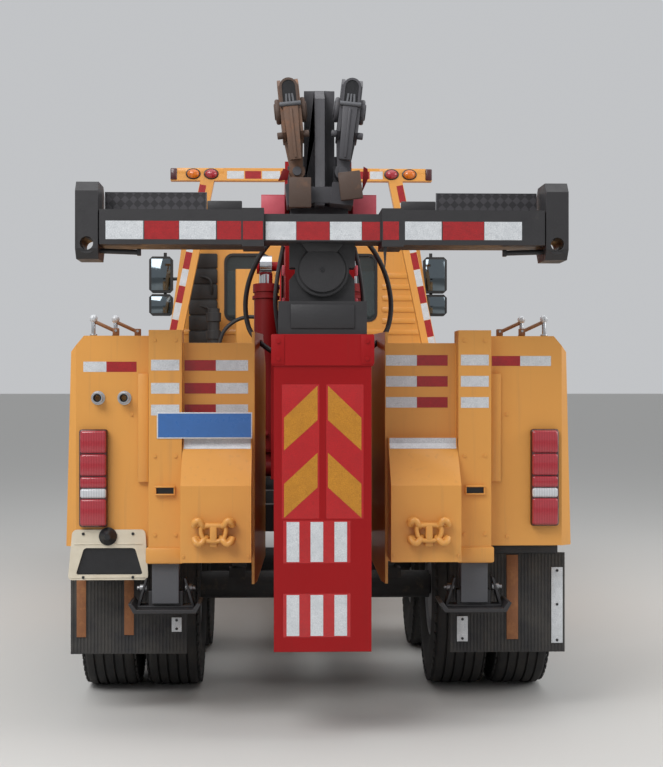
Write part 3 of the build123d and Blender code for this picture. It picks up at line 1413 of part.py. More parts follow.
# pieces that come as a right and a left one
pairs = {
    "locker_door_rear": locker_door(0),
    "locker_door_front": locker_door(1),
    "leg": rear_leg(),
    "arm": crossbar_arm(),
    "door": door,
    "door_glass": door_glass,
    "mirror": mirror_piece(),
    "knuckle": knuckle(),
}
for name in right_tyre:
    pairs["tyre_" + name] = right_tyre[name]
    pairs["rim_" + name] = right_rim[name]
for name, shape in pairs.items():
    nodes[name + "_right"] = shape
    nodes[name + "_left"] = mirrored(shape)

for name, shape in nodes.items():
    export_step(shape, "parts/" + name + ".step")
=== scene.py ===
import math

import bmesh
import bpy
from mathutils import Matrix, Vector


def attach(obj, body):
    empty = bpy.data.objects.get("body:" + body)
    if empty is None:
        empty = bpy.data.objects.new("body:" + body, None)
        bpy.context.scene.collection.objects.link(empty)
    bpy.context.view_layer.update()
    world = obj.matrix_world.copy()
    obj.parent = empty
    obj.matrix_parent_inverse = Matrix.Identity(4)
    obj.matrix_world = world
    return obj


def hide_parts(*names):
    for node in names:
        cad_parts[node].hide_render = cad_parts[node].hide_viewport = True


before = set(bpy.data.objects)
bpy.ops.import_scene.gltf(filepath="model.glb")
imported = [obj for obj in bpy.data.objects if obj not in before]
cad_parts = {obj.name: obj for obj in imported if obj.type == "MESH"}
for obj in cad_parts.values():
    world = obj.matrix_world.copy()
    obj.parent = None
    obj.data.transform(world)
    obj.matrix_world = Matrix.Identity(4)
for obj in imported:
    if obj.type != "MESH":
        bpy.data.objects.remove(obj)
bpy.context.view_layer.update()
print("frame loaded:", len(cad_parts), "nodes")

tailY = -4.05  # the flat back of the side boxes
sides = {"right": 1, "left": -1}
once = (1,)  # for pieces that aren't repeated on the left
unmoved = Matrix.Identity(4)


# small helpers for colours, nodes and meshes

def hexColour(text):
    # sRGB hex to the linear values that Blender works in
    channels = [int(text[place:place + 2], 16) / 255 for place in (1, 3, 5)]
    return [c / 12.92 if c <= 0.04045 else ((c + 0.055) / 1.055) ** 2.4 for c in channels] + [1.0]


def addNode(material, kind, inputs=None, **settings):
    # one node with its settings, its values and its links; a text among the values is a colour
    tree = material.node_tree
    node = tree.nodes.new(kind)
    for key, value in settings.items():
        setattr(node, key, value)
    for key, value in (inputs or {}).items():
        if isinstance(value, bpy.types.NodeSocket):
            tree.links.new(value, node.inputs[key])
        else:
            node.inputs[key].default_value = hexColour(value) if isinstance(value, str) else value
    return node


def startMaterial(name, **sockets):
    # a material with its shader's values, and the coordinates of the piece for its patterns
    material = bpy.data.materials.new(name)
    material.use_nodes = True
    shader = material.node_tree.nodes["Principled BSDF"]
    for key, value in sockets.items():
        shader.inputs[key.replace("_", " ")].default_value = value
    return material, addNode(material, "ShaderNodeTexCoord").outputs["Object"]


def plug(material, socket, name):
    material.node_tree.links.new(socket, material.node_tree.nodes["Principled BSDF"].inputs[name])


def finishMesh(name, bm, angle):
    mesh = bpy.data.meshes.new(name)
    bm.to_mesh(mesh)
    bm.free()
    if angle:
        mesh.shade_smooth()
        mesh.set_sharp_from_angle(angle=math.radians(angle))
    return mesh


def pieceFromMesh(name, mesh, material, body, replaced):
    piece = bpy.data.objects.new(name, mesh)
    bpy.context.scene.collection.objects.link(piece)
    mesh.materials.clear()
    mesh.materials.append(material)
    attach(piece, body)
    if replaced:
        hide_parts(*replaced)
    return piece


def finishPiece(name, bm, material, body="chassis", slot="body_paint", replaced=(), angle=35):
    # faces that meet at less than the angle are shaded as one; at 0 they all stay flat
    bmesh.ops.recalc_face_normals(bm, faces=bm.faces)
    return pieceFromMesh(name, finishMesh(name, bm, angle), material, body, replaced)


def roundEdges(bm, edges, width, segments=2):
    bmesh.ops.bevel(bm, geom=list(edges), offset=width, segments=segments, profile=0.5, affect="EDGES",
                    material=-1, clamp_overlap=True)


def turnedTo(run):
    # the turn that takes Z to a direction
    return run.to_track_quat("Z", "Y").to_matrix().to_4x4()


def addBlock(bm, low, high, edge=0.0, place=unmoved, segments=2):
    # a box between two corners with its edges rounded
    size = [abs(b - a) for a, b in zip(low, high)]
    middle = [(a + b) / 2 for a, b in zip(low, high)]
    matrix = place @ Matrix.Translation(middle) @ Matrix.Diagonal((*size, 1))
    verts = bmesh.ops.create_cube(bm, size=1.0, matrix=matrix)["verts"]
    if edge:
        roundEdges(bm, {e for v in verts for e in v.link_edges}, edge, segments)


def addRod(bm, start, end, radius, edge=0.0, place=unmoved, steps=24, endRadius=None):
    start, end = Vector(start), Vector(end)
    run = end - start
    matrix = place @ Matrix.Translation((start + end) / 2) @ turnedTo(run)
    verts = bmesh.ops.create_cone(bm, cap_ends=True, segments=steps, radius1=radius,
                                  radius2=radius if endRadius is None else endRadius,
                                  depth=run.length, matrix=matrix)["verts"]
    if edge:
        caps = {e for v in verts for e in v.link_edges if len(e.link_faces) == 2
                and any(len(f.verts) > 4 for f in e.link_faces)}
        roundEdges(bm, caps, edge)


def addBall(bm, centre, radius):
    matrix = Matrix.Translation(centre)
    bmesh.ops.create_uvsphere(bm, u_segments=16, v_segments=8, radius=radius, matrix=matrix)


def addTurned(bm, profile, start, end, place=unmoved, steps=48):
    # a closed outline of (distance along, radius) pairs spun about the line from start to end
    before = set(bm.verts)
    start = Vector(start)
    matrix = place @ Matrix.Translation(start) @ turnedTo((Vector(end) - start).normalized())
    verts = [bm.verts.new((radius, 0, length)) for length, radius in profile]
    edges = [bm.edges.new((a, b)) for a, b in zip(verts, verts[1:] + verts[:1])]
    bmesh.ops.spin(bm, geom=verts + edges, cent=(0, 0, 0), axis=(0, 0, 1), angle=2 * math.pi, steps=steps,
                   use_merge=True, use_duplicate=False)
    made = [v for v in bm.verts if v not in before]
    bmesh.ops.transform(bm, matrix=matrix, verts=made)
    bmesh.ops.remove_doubles(bm, verts=made, dist=1e-6)


def addPlate(bm, outline, push, edge=0.0, place=unmoved):
    # a flat outline of (x, y, z) corners pushed along a vector
    verts = [bm.verts.new(point) for point in outline]
    made = bmesh.ops.extrude_face_region(bm, geom=[bm.faces.new(verts)])["geom"]
    moved = [g for g in made if isinstance(g, bmesh.types.BMVert)]
    bmesh.ops.translate(bm, verts=moved, vec=push)
    bmesh.ops.transform(bm, matrix=place, verts=verts + moved)
    if edge:
        roundEdges(bm, {e for v in verts + moved for e in v.link_edges}, edge)


def addHexes(bm, centres, direction, radius, height):
    # bolt heads or nuts that stand on a face
    for centre in centres:
        start = Vector(centre)
        end = start + Vector(direction).normalized() * height
        addRod(bm, start, end, radius, steps=6, endRadius=radius * 0.92)


def addTube(bm, points, radius, steps=10, closed=False):
    # a hose with a smooth line through a few points, or a closed ring of round bar
    curve = bpy.data.curves.new("pipeLine", "CURVE")
    curve.dimensions = "3D"
    spline = curve.splines.new("NURBS")
    spline.points.add(len(points) - 1)
    for point, place in zip(spline.points, points):
        point.co = (*place, 1)
    spline.order_u = 3
    spline.use_cyclic_u = closed
    spline.use_endpoint_u = not closed
    curve.resolution_u = 4 if closed else 6
    curve.bevel_depth = radius
    curve.bevel_resolution = max(1, steps // 4)
    curve.use_fill_caps = not closed
    holder = bpy.data.objects.new("pipeLine", curve)
    mesh = bpy.data.meshes.new_from_object(holder)
    bm.from_mesh(mesh)
    bpy.data.objects.remove(holder)
    bpy.data.curves.remove(curve)
    bpy.data.meshes.remove(mesh)


def addOutline(bm, corners, y, radius):
    # the edges of a flat outline across the truck with its corners rounded
    before = set(bm.edges)
    verts = [bm.verts.new((x, y, z)) for x, z in corners]
    bm.faces.new(verts)
    bmesh.ops.bevel(bm, geom=verts, offset=radius, segments=5, profile=0.5, affect="VERTICES", material=-1)
    edges = [e for e in bm.edges if e not in before]
    bmesh.ops.delete(bm, geom=list({f for e in edges for f in e.link_faces}), context="FACES_ONLY")
    return edges


def addFrame(bm, outer, inner, y, depth, outerRadius, innerRadius):
    # a flat frame across the truck: an outline with a window in it, pushed forwards
    edges = addOutline(bm, outer, y, outerRadius) + addOutline(bm, inner, y, innerRadius)
    faces = bmesh.ops.bridge_loops(bm, edges=edges)["faces"]
    made = bmesh.ops.extrude_face_region(bm, geom=faces)["geom"]
    bmesh.ops.translate(bm, verts=[g for g in made if isinstance(g, bmesh.types.BMVert)], vec=(0, depth, 0))


def addTape(bm, x, z, y, place=unmoved, thick=0.0007, sunk=0.0002):
    # a strip stuck on a face that looks backwards
    addBlock(bm, (min(x), y - thick, z[0]), (max(x), y + sunk, z[1]), place=place)


def flipped(sign, *points):
    # points of the right side taken to the side that the sign names
    return [(sign * x, y, z) for x, y, z in points]


def makePiece(name, material, body="chassis", slot="body_paint", signs=(1, -1), bm=None, place=unmoved,
              blocks=(), rods=(), plates=(), turned=(), tubes=(), hexes=(), **finish):
    # a piece from rows of simple shapes, given for the right side and made for each sign:
    # block (x, x, y, y, z, z, edge, segments), rod (start, end, radius, edge, steps),
    # plate (outline, push, edge), turned (profile, start, end, steps),
    # tube (points, radius, steps) and hexes (centres, direction, radius, height)
    if bm is None:
        bm = bmesh.new()
    for sign in signs:
        for x0, x1, y0, y1, z0, z1, edge, *segments in blocks:
            addBlock(bm, (sign * x0, y0, z0), (sign * x1, y1, z1), edge, place, *segments)
        for start, end, radius, edge, *steps in rods:
            addRod(bm, *flipped(sign, start, end), radius, edge, place, *steps)
        for outline, push, edge in plates:
            addPlate(bm, flipped(sign, *outline), flipped(sign, push)[0], edge, place)
        for profile, start, end, *steps in turned:
            addTurned(bm, profile, *flipped(sign, start, end), place, *steps)
        for points, radius, steps in tubes:
            addTube(bm, flipped(sign, *points), radius, steps)
        for centres, direction, radius, height in hexes:
            addHexes(bm, flipped(sign, *centres), flipped(sign, direction)[0], radius, height)
    return finishPiece(name, bm, material, body, slot, **finish)


def paintedPanel(name, colour, shade, dust="#6E6253", dustMost=0.35, roughness=0.34, gloss=0.15, shine=0.4):
    # sprayed enamel over folded sheet: a clear gloss, slow changes of tone, and dust that thickens downwards
    material, place = startMaterial(name, Roughness=roughness, Coat_Weight=gloss, Coat_Roughness=0.12,
                                    Specular_IOR_Level=shine)
    tone = addNode(material, "ShaderNodeTexNoise", {"Vector": place, "Scale": 1.7, "Detail": 3.0})
    base = addNode(material, "ShaderNodeMix", {"Factor": tone.outputs["Fac"], "A": colour, "B": shade},
                   data_type="RGBA")
    height = addNode(material, "ShaderNodeSeparateXYZ", {"Vector": place})
    low = addNode(material, "ShaderNodeMapRange", {
        "Value": height.outputs["Z"], "From Min": 0.3, "From Max": 1.1, "To Min": dustMost, "To Max": 0.04})
    cloud = addNode(material, "ShaderNodeTexNoise",
                    {"Vector": place, "Scale": 9.0, "Detail": 8.0, "Roughness": 0.7})
    veil = addNode(material, "ShaderNodeMath", {0: low.outputs[0], 1: cloud.outputs["Fac"]},
                   operation="MULTIPLY")
    # rain draws the dust into thin upright runs
    streak = addNode(material, "ShaderNodeMapping", {"Vector": place, "Scale": (38.0, 38.0, 1.6)})
    runs = addNode(material, "ShaderNodeTexNoise", {"Vector": streak.outputs[0], "Scale": 1.0, "Detail": 3.0})
    thin = addNode(material, "ShaderNodeMapRange", {
        "Value": runs.outputs["Fac"], "From Min": 0.58, "From Max": 0.8, "To Min": 0.0, "To Max": 0.16})
    dirt = addNode(material, "ShaderNodeMath", {0: veil.outputs[0], 1: thin.outputs[0]}, operation="ADD",
                   use_clamp=True)
    dusty = addNode(material, "ShaderNodeMix",
                    {"Factor": dirt.outputs[0], "A": base.outputs["Result"], "B": dust}, data_type="RGBA")
    plug(material, dusty.outputs["Result"], "Base Color")
    dull = addNode(material, "ShaderNodeMapRange", {
        "Value": dirt.outputs[0], "From Min": 0.0, "From Max": 0.5, "To Min": roughness, "To Max": 0.75})
    plug(material, dull.outputs[0], "Roughness")
    sheet = addNode(material, "ShaderNodeTexNoise", {"Vector": place, "Scale": 5.0, "Detail": 1.0})
    bump = addNode(material, "ShaderNodeBump",
                   {"Height": sheet.outputs["Fac"], "Strength": 0.5, "Distance": 0.004})
    plug(material, bump.outputs[0], "Normal")
    return material


def workSteel(name, colour, worn, wear=0.62, roughness=0.55, metallic=0.0):
    # brushed-on chassis paint or cast metal: satin, with scuffs that show the paler metal and dust below
    material, place = startMaterial(name, Metallic=metallic, Roughness=roughness)
    scuff = addNode(material, "ShaderNodeTexNoise",
                    {"Vector": place, "Scale": 14.0, "Detail": 10.0, "Roughness": 0.75})
    mask = addNode(material, "ShaderNodeMapRange", {
        "Value": scuff.outputs["Fac"], "From Min": wear, "From Max": wear + 0.16, "To Min": 0.0, "To Max": 0.7})
    tone = addNode(material, "ShaderNodeMix", {"Factor": mask.outputs[0], "A": colour, "B": worn},
                   data_type="RGBA")
    plug(material, tone.outputs["Result"], "Base Color")
    rough = addNode(material, "ShaderNodeMapRange", {
        "Value": scuff.outputs["Fac"], "From Min": 0.3, "From Max": 0.75, "To Min": roughness - 0.12,
        "To Max": roughness + 0.2})
    plug(material, rough.outputs[0], "Roughness")
    pits = addNode(material, "ShaderNodeTexNoise", {"Vector": place, "Scale": 60.0, "Detail": 4.0})
    bump = addNode(material, "ShaderNodeBump",
                   {"Height": pits.outputs["Fac"], "Strength": 0.35, "Distance": 0.002})
    plug(material, bump.outputs[0], "Normal")
    return material


def mouldedRubber(name, colour, dust, dustMost=0.5, roughness=0.8):
    # vulcanised rubber: matt, with a grey-brown bloom of road dust
    material, place = startMaterial(name, Roughness=roughness)
    bloom = addNode(material, "ShaderNodeTexNoise",
                    {"Vector": place, "Scale": 6.0, "Detail": 9.0, "Roughness": 0.7})
    mask = addNode(material, "ShaderNodeMapRange", {
        "Value": bloom.outputs["Fac"], "From Min": 0.38, "From Max": 0.78, "To Min": 0.0, "To Max": dustMost})
    tone = addNode(material, "ShaderNodeMix", {"Factor": mask.outputs[0], "A": colour, "B": dust},
                   data_type="RGBA")
    plug(material, tone.outputs["Result"], "Base Color")
    skin = addNode(material, "ShaderNodeTexNoise", {"Vector": place, "Scale": 180.0, "Detail": 3.0})
    bump = addNode(material, "ShaderNodeBump",
                   {"Height": skin.outputs["Fac"], "Strength": 0.3, "Distance": 0.001})
    plug(material, bump.outputs[0], "Normal")
    return material


def beadedTape(name, colour, shade):
    # retroreflective tape: a glossy film over cells about 8 mm across, drawn coarse enough to show
    material, place = startMaterial(name, Roughness=0.25, Coat_Weight=0.5, Coat_Roughness=0.08)
    cells = addNode(material, "ShaderNodeTexVoronoi", {"Vector": place, "Scale": 125.0},
                    feature="DISTANCE_TO_EDGE")
    line = addNode(material, "ShaderNodeMapRange", {
        "Value": cells.outputs["Distance"], "From Min": 0.0, "From Max": 0.12, "To Min": 0.0, "To Max": 1.0})
    soil = addNode(material, "ShaderNodeTexNoise", {"Vector": place, "Scale": 30.0, "Detail": 4.0})
    both = addNode(material, "ShaderNodeMath", {0: line.outputs[0], 1: soil.outputs["Fac"]},
                   operation="MULTIPLY")
    tone = addNode(material, "ShaderNodeMix", {"Factor": both.outputs[0], "A": shade, "B": colour},
                   data_type="RGBA")
    plug(material, tone.outputs["Result"], "Base Color")
    return material


def lampPlastic(name, colour, shade, roughness=0.12):
    # moulded acrylic lens: deep colour under a clear gloss, with fine vertical optics
    material, place = startMaterial(name, Roughness=roughness, Coat_Weight=0.6, Coat_Roughness=0.05)
    prism = addNode(material, "ShaderNodeTexWave",
                    {"Vector": place, "Scale": 160.0 / 6.28, "Distortion": 0.0}, bands_direction="X")
    tone = addNode(material, "ShaderNodeMix", {"Factor": prism.outputs["Fac"], "A": shade, "B": colour},
                   data_type="RGBA")
    plug(material, tone.outputs["Result"], "Base Color")
    bump = addNode(material, "ShaderNodeBump",
                   {"Height": prism.outputs["Fac"], "Strength": 0.4, "Distance": 0.001})
    plug(material, bump.outputs[0], "Normal")
    return material


def plainGloss(name, colour, shade, metallic=0.0, roughness=0.3, scale=40.0):
    # an even finish whose tone and gloss vary a little, as on plated or moulded pieces
    material, place = startMaterial(name, Metallic=metallic, Roughness=roughness)
    mottle = addNode(material, "ShaderNodeTexNoise", {"Vector": place, "Scale": scale, "Detail": 5.0})
    tone = addNode(material, "ShaderNodeMix", {"Factor": mottle.outputs["Fac"], "A": colour, "B": shade},
                   data_type="RGBA")
    plug(material, tone.outputs["Result"], "Base Color")
    dull = addNode(material, "ShaderNodeMapRange", {
        "Value": mottle.outputs["Fac"], "From Min": 0.3, "From Max": 0.7,
        "To Min": max(0.02, roughness - 0.06), "To Max": roughness + 0.08})
    plug(material, dull.outputs[0], "Roughness")
    return material


def treadPlate(name, colour, raised):
    # chequer plate: a raised diagonal pattern about 28 mm apart
    material, place = startMaterial(name, Roughness=0.5)
    slant = addNode(material, "ShaderNodeMapping", {"Vector": place, "Rotation": (0, math.radians(45), 0)})
    bars = addNode(material, "ShaderNodeTexChecker", {"Vector": slant.outputs[0], "Scale": 36.0})
    tone = addNode(material, "ShaderNodeMix", {"Factor": bars.outputs["Fac"], "A": colour, "B": raised},
                   data_type="RGBA")
    plug(material, tone.outputs["Result"], "Base Color")
    bump = addNode(material, "ShaderNodeBump",
                   {"Height": bars.outputs["Fac"], "Strength": 0.8, "Distance": 0.003})
    plug(material, bump.outputs[0], "Normal")
    return material


def windowGlass(name, tint, haze):
    # safety glass: clear and mirror-smooth, with a thin uneven film on it
    material, place = startMaterial(name, Roughness=0.03, Transmission_Weight=0.85, IOR=1.5)
    film = addNode(material, "ShaderNodeTexNoise", {"Vector": place, "Scale": 3.0, "Detail": 4.0})
    tone = addNode(material, "ShaderNodeMix", {"Factor": film.outputs["Fac"], "A": tint, "B": haze},
                   data_type="RGBA")
    plug(material, tone.outputs["Result"], "Base Color")
    return material


def twistedRope(name, grease, strand):
    # galvanised wire rope: grey strands laid at a slant, with dark grease between them
    material, place = startMaterial(name, Metallic=0.7, Roughness=0.45)
    slant = addNode(material, "ShaderNodeMapping",
                    {"Vector": place, "Rotation": (math.radians(35), math.radians(35), 0)})
    lay = addNode(material, "ShaderNodeTexWave",
                  {"Vector": slant.outputs[0], "Scale": 28.0, "Distortion": 0.4})
    tone = addNode(material, "ShaderNodeMix", {"Factor": lay.outputs["Fac"], "A": grease, "B": strand},
                   data_type="RGBA")
    plug(material, tone.outputs["Result"], "Base Color")
    bump = addNode(material, "ShaderNodeBump",
                   {"Height": lay.outputs["Fac"], "Strength": 0.7, "Distance": 0.002})
    plug(material, bump.outputs[0], "Normal")
    return material


redLook = {"roughness": 0.5, "gloss": 0.03, "shine": 0.2}
yellowEnamel = paintedPanel("yellowEnamel", "#DFA04F", "#D49345")
redEnamel = paintedPanel("redEnamel", "#A00D13", "#8E0A10", dust="#5A2A22", dustMost=0.2, **redLook)
# a darker red: painted shade on the red side plates at the boom tip, also used on the lift barrels and their
# rings
darkRedEnamel = paintedPanel("darkRedEnamel", "#74090D", "#610609", dust="#4A3A34", dustMost=0.15, **redLook)
brightRedFilm = beadedTape("brightRedFilm", "#C0131A", "#A00D13")
goldFilm = beadedTape("goldFilm", "#D08E22", "#A86E14")
whiteTape = beadedTape("whiteTape", "#E4E6E8", "#B4B8BC")
redTape = beadedTape("redTape", "#B8141B", "#860C12")
chassisPaint = workSteel("chassisPaint", "#2A2A2C", "#57504A", wear=0.6)
underliftPaint = workSteel("underliftPaint", "#2B2A2C", "#55504D", wear=0.64, roughness=0.48)
castAxle = workSteel("castAxle", "#2D2C2C", "#5C5046", wear=0.55, roughness=0.7)
boomTipPaint = workSteel("boomTipPaint", "#4A494D", "#6D665F", wear=0.6, roughness=0.5)
rustyIron = workSteel("rustyIron", "#6A5244", "#8A6147", wear=0.5, roughness=0.75)
tipBlockIron = workSteel("tipBlockIron", "#54433A", "#7A5B48", wear=0.55, roughness=0.7)
rustyStrap = workSteel("rustyStrap", "#8A5A3A", "#A8744C", wear=0.5, roughness=0.8)
greySteel = workSteel("greySteel", "#5B5C60", "#7E7B76", wear=0.6)
legSteel = workSteel("legSteel", "#505155", "#6E6A64", wear=0.6)
bareSteel = workSteel("bareSteel", "#8E8E90", "#B4B2AE", wear=0.55, roughness=0.4, metallic=0.8)
wheelPaint = workSteel("wheelPaint", "#8A8B8E", "#6E6458", wear=0.58, roughness=0.5)
tyreRubber = mouldedRubber("tyreRubber", "#1F1F20", "#4B453E", dustMost=0.45)
flapRubber = mouldedRubber("flapRubber", "#2F2F31", "#5D5850", dustMost=0.6)
hoseRubber = mouldedRubber("hoseRubber", "#17171A", "#3A3835", dustMost=0.3, roughness=0.55)
trimPlastic = mouldedRubber("trimPlastic", "#1C1C1E", "#45423E", dustMost=0.3, roughness=0.6)
cabPlastic = mouldedRubber("cabPlastic", "#3A3A3D", "#4A4846", dustMost=0.2, roughness=0.7)
# pink: painted highlight on red paint, used on the boom's corner and on the hose fittings
highlightPink = plainGloss("highlightPink", "#D86672", "#C24F5C", roughness=0.45, scale=25.0)
chromeRod = plainGloss("chromeRod", "#D8D8DC", "#C4C4C8", metallic=1.0, roughness=0.08)
tankAlloy = plainGloss("tankAlloy", "#B9BBBE", "#A2A4A8", metallic=0.9, roughness=0.35, scale=12.0)
creamPaint = plainGloss("creamPaint", "#DDD5C3", "#C4B9A2", roughness=0.4, scale=18.0)
bluePlate = plainGloss("bluePlate", "#3F6FB2", "#37649F", scale=20.0)
silverFitting = plainGloss("silverFitting", "#C9CBCE", "#A9ABAE", metallic=0.9)
blackFitting = plainGloss("blackFitting", "#151517", "#232326", roughness=0.35)
brownLever = plainGloss("brownLever", "#8E5D33", "#70462A", roughness=0.5, scale=60.0)
mirrorGlass = plainGloss("mirrorGlass", "#6E777C", "#636C72", metallic=1.0, roughness=0.03)
redLens = lampPlastic("redLens", "#A8303A", "#98242F")
lampTray = lampPlastic("lampTray", "#4A0F14", "#38090D", roughness=0.3)
amberLens = lampPlastic("amberLens", "#E07A18", "#B5560C")
clearLens = lampPlastic("clearLens", "#C9CBCE", "#B5B8BC")
chequerPlate = treadPlate("chequerPlate", "#2B2A2D", "#434145")
safetyGlass = windowGlass("safetyGlass", "#7C888A", "#6E7876")
lampGlass = windowGlass("lampGlass", "#F2F5F6", "#E4E9EA")
wireRope = twistedRope("wireRope", "#2E2B28", "#9A978F")
print("materials made:", len(bpy.data.materials))


def softened(name, node, material, body, edge):
    # a CAD node's own shape with its doubles merged and its edges rounded
    bm = bmesh.new()
    bm.from_mesh(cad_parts[node].data)
    bmesh.ops.remove_doubles(bm, verts=bm.verts, dist=2e-5)
    bmesh.ops.dissolve_limit(bm, angle_limit=math.radians(1.0), verts=bm.verts, edges=bm.edges)
    piece = pieceFromMesh(name, finishMesh(name, bm, 30), material, body, (node,))
    rounding = piece.modifiers.new("edges", "BEVEL")
    rounding.limit_method = "ANGLE"
    rounding.angle_limit = math.radians(30)
    rounding.width = edge
    rounding.segments = 2
    rounding.harden_normals = True
    rounding.use_clamp_overlap = True
    return piece


# the CAD's own shapes, with rounded edges and their real finish
headSteel = {"right": boomTipPaint, "left": rustyIron}
shapedNodes = {
    # node: (new name, material, body, slot, edge radius in metres)
    "side_boxes": ("sideBoxShells", yellowEnamel, "chassis", "body_paint", 0.006),
    "tail_frame": ("tailFrameShell", yellowEnamel, "chassis", "body_paint", 0.005),
    "gantry": ("gantryFrame", yellowEnamel, "chassis", "body_paint", 0.005),
    "cab_shell": ("cabBody", yellowEnamel, "cab", "body_paint", 0.012),
    "boom_outer": ("boomOuterTube", redEnamel, "boom", "boom_paint", 0.006),
    "mast": ("mastColumn", redEnamel, "boom", "boom_paint", 0.006),
    "boom_inner": ("boomInnerTube", boomTipPaint, "boom_slide", "sheave_steel", 0.004),
    "stinger_outer": ("stingerOuterTube", redEnamel, "stinger", "boom_paint", 0.005),
    "stinger_inner": ("stingerInnerTube", underliftPaint, "stinger_slide", "underlift_paint", 0.005),
    "crossbar": ("crossbarBeam", underliftPaint, "crossbar", "underlift_paint", 0.005),
    "bumper": ("bumperShell", chassisPaint, "chassis", "chassis_paint", 0.006),
    "frame_rails": ("frameRails", chassisPaint, "chassis", "chassis_paint", 0.003),
    "subframe": ("deckFrame", chassisPaint, "chassis", "chassis_paint", 0.004),
    "front_axle": ("frontAxleBeam", castAxle, "chassis", "axle_casting", 0.006),
    "rear_axles": ("rearAxleHousings", castAxle, "chassis", "axle_casting", 0.006),
    "engine": ("engineBlock", castAxle, "chassis", "axle_casting", 0.012),
    "lift_barrels": ("liftBarrels", darkRedEnamel, "lift_barrels", "boom_paint", 0.004),
    "lift_rods": ("liftRods", chromeRod, "lift_rods", "rod_chrome", 0.003),
    "cab_interior": ("cabFurniture", cabPlastic, "cab", "cab_plastic", 0.012),
    "grille": ("grilleSlats", trimPlastic, "cab", "trim_plastic", 0.003),
    "snorkel": ("snorkelPipe", trimPlastic, "chassis", "trim_plastic", 0.003),
    "splash_guards": ("mudguardArches", trimPlastic, "chassis", "fender_plastic", 0.002),
    "tank_and_battery": ("fuelTankAndBatteries", tankAlloy, "chassis", "tank_metal", 0.006),
}
pairedNodes = {
    # the same, where node, name and body end with the side
    "locker_door_rear_": ("lockerDoorRear_", yellowEnamel, "locker_rear_", "body_paint", 0.004),
    "locker_door_front_": ("lockerDoorFront_", yellowEnamel, "locker_front_", "body_paint", 0.004),
    "leg_": ("legTube_", legSteel, "leg_", "leg_steel", 0.003),
    "arm_": ("crossbarArm_", underliftPaint, "arm_", "underlift_paint", 0.005),
    "door_": ("cabDoor_", yellowEnamel, "door_", "body_paint", 0.006),
    "mirror_": ("mirrorHousing_", trimPlastic, "door_", "trim_plastic", 0.008),
    "knuckle_": ("knuckle_", castAxle, "knuckle_", "axle_casting", 0.004),
    "sheave_head_": ("sheaveBlock_", headSteel, "sheave_", "sheave_steel", 0.004),
    "rim_front_": ("rimFront_", wheelPaint, "wheel_front_", "wheel_paint", 0.004),
    "rim_mid_": ("rimMid_", wheelPaint, "wheel_mid_", "wheel_paint", 0.004),
    "rim_rear_": ("rimRear_", wheelPaint, "wheel_rear_", "wheel_paint", 0.004),
}
for side in sides:
    for node, (name, material, body, slot, edge) in pairedNodes.items():
        finish = material[side] if material is headSteel else material
        shapedNodes[node + side] = (name + side, finish, body + side, slot, edge)
# reflective tape on the crossbar: (x from, x to) of each strip, and the same height for all
bar = {
    "face": -4.5988, "z": (2.308, 2.392), "centreFace": -4.58,
    "white": ((-0.991, -0.820), (-0.656, -0.489), (0.376, 0.544), (0.741, 0.914)),
    "red": ((-0.815, -0.658), (-0.484, -0.374), (0.549, 0.739), (-0.366, -0.275), (0.275, 0.348)),
    "centreWhite": ((-0.262, -0.123), (0.0325, 0.178)), "centreRed": ((-0.121, 0.0305), (0.180, 0.262)),
}
footTop = 0.66  # a leg is black below this height
for node, (name, material, body, slot, edge) in shapedNodes.items():
    piece = softened(name, node, material, body, edge)
    if node.startswith("leg_"):
        # the fork and the foot are black below the grey tube
        piece.data.materials.append(underliftPaint)
        for face in piece.data.polygons:
            face.material_index = 1 if face.center.z < footTop else 0
    if node == "crossbar":
        # its rear face goes in by the thickness of the tape, so that the tape stays inside the truck's length
        for vertex in piece.data.vertices:
            vertex.co.y = max(vertex.co.y, bar["face"])

carriedNodes = {
    "cab_glass": safetyGlass, "door_glass_right": safetyGlass, "door_glass_left": safetyGlass,
    "winch_drum_rear": greySteel, "winch_drum_front": greySteel,
}
for node, material in carriedNodes.items():
    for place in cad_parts[node].material_slots:
        place.material = material
print("CAD shapes dressed:", len(shapedNodes) + len(carriedNodes))


wheels = {
    "tyreRadius": 0.540, "tyreWidth": 0.295, "rimRadius": 0.2843, "shoulderLugs": 56,
    "grooves": (-0.26, -0.09, 0.09, 0.26), "grooveDepth": 0.013, "grooveWidth": 0.012,
    "nuts": 10, "nutRing": 0.1675, "nutSize": 0.019, "nutHigh": 0.032, "studRadius": 0.010, "studHigh": 0.046,
    # per axle: its place along the truck, the middles of its tyres and the face that its nuts stand on
    "axles": {"front": (3.200, (1.020,), 1.115), "mid": (-1.600, (0.7625, 1.0975), 0.9425),
              "rear": (-2.950, (0.7625, 1.0975), 0.9425)},
}


def tyreSection(look):
    # (place across, radius) from the left bead over the tread to the right bead
    outer, inner, width = look["tyreRadius"], look["rimRadius"], look["tyreWidth"]
    height = outer - inner
    # as (share of the width from the middle, share of the height)
    wall = [(0.40, 0.0), (0.435, 0.06), (0.47, 0.2), (0.495, 0.36), (0.499, 0.46), (0.49, 0.60),
            (0.478, 0.70), (0.472, 0.78), (0.455, 0.88), (0.435, 0.95), (0.405, 0.99), (0.385, 1.0)]
    half = look["grooveWidth"] / 2 / width
    tread = []
    for centre in look["grooves"]:
        for share, depth in ((-1, 0), (-0.6, look["grooveDepth"]), (0.6, look["grooveDepth"]), (1, 0)):
            tread.append((centre + half * share, outer - depth))
    left = [(-share, inner + rise * height) for share, rise in wall]
    right = [(share, inner + rise * height) for share, rise in reversed(wall)]
    return [(share * width, radius) for share, radius in left + tread + right]


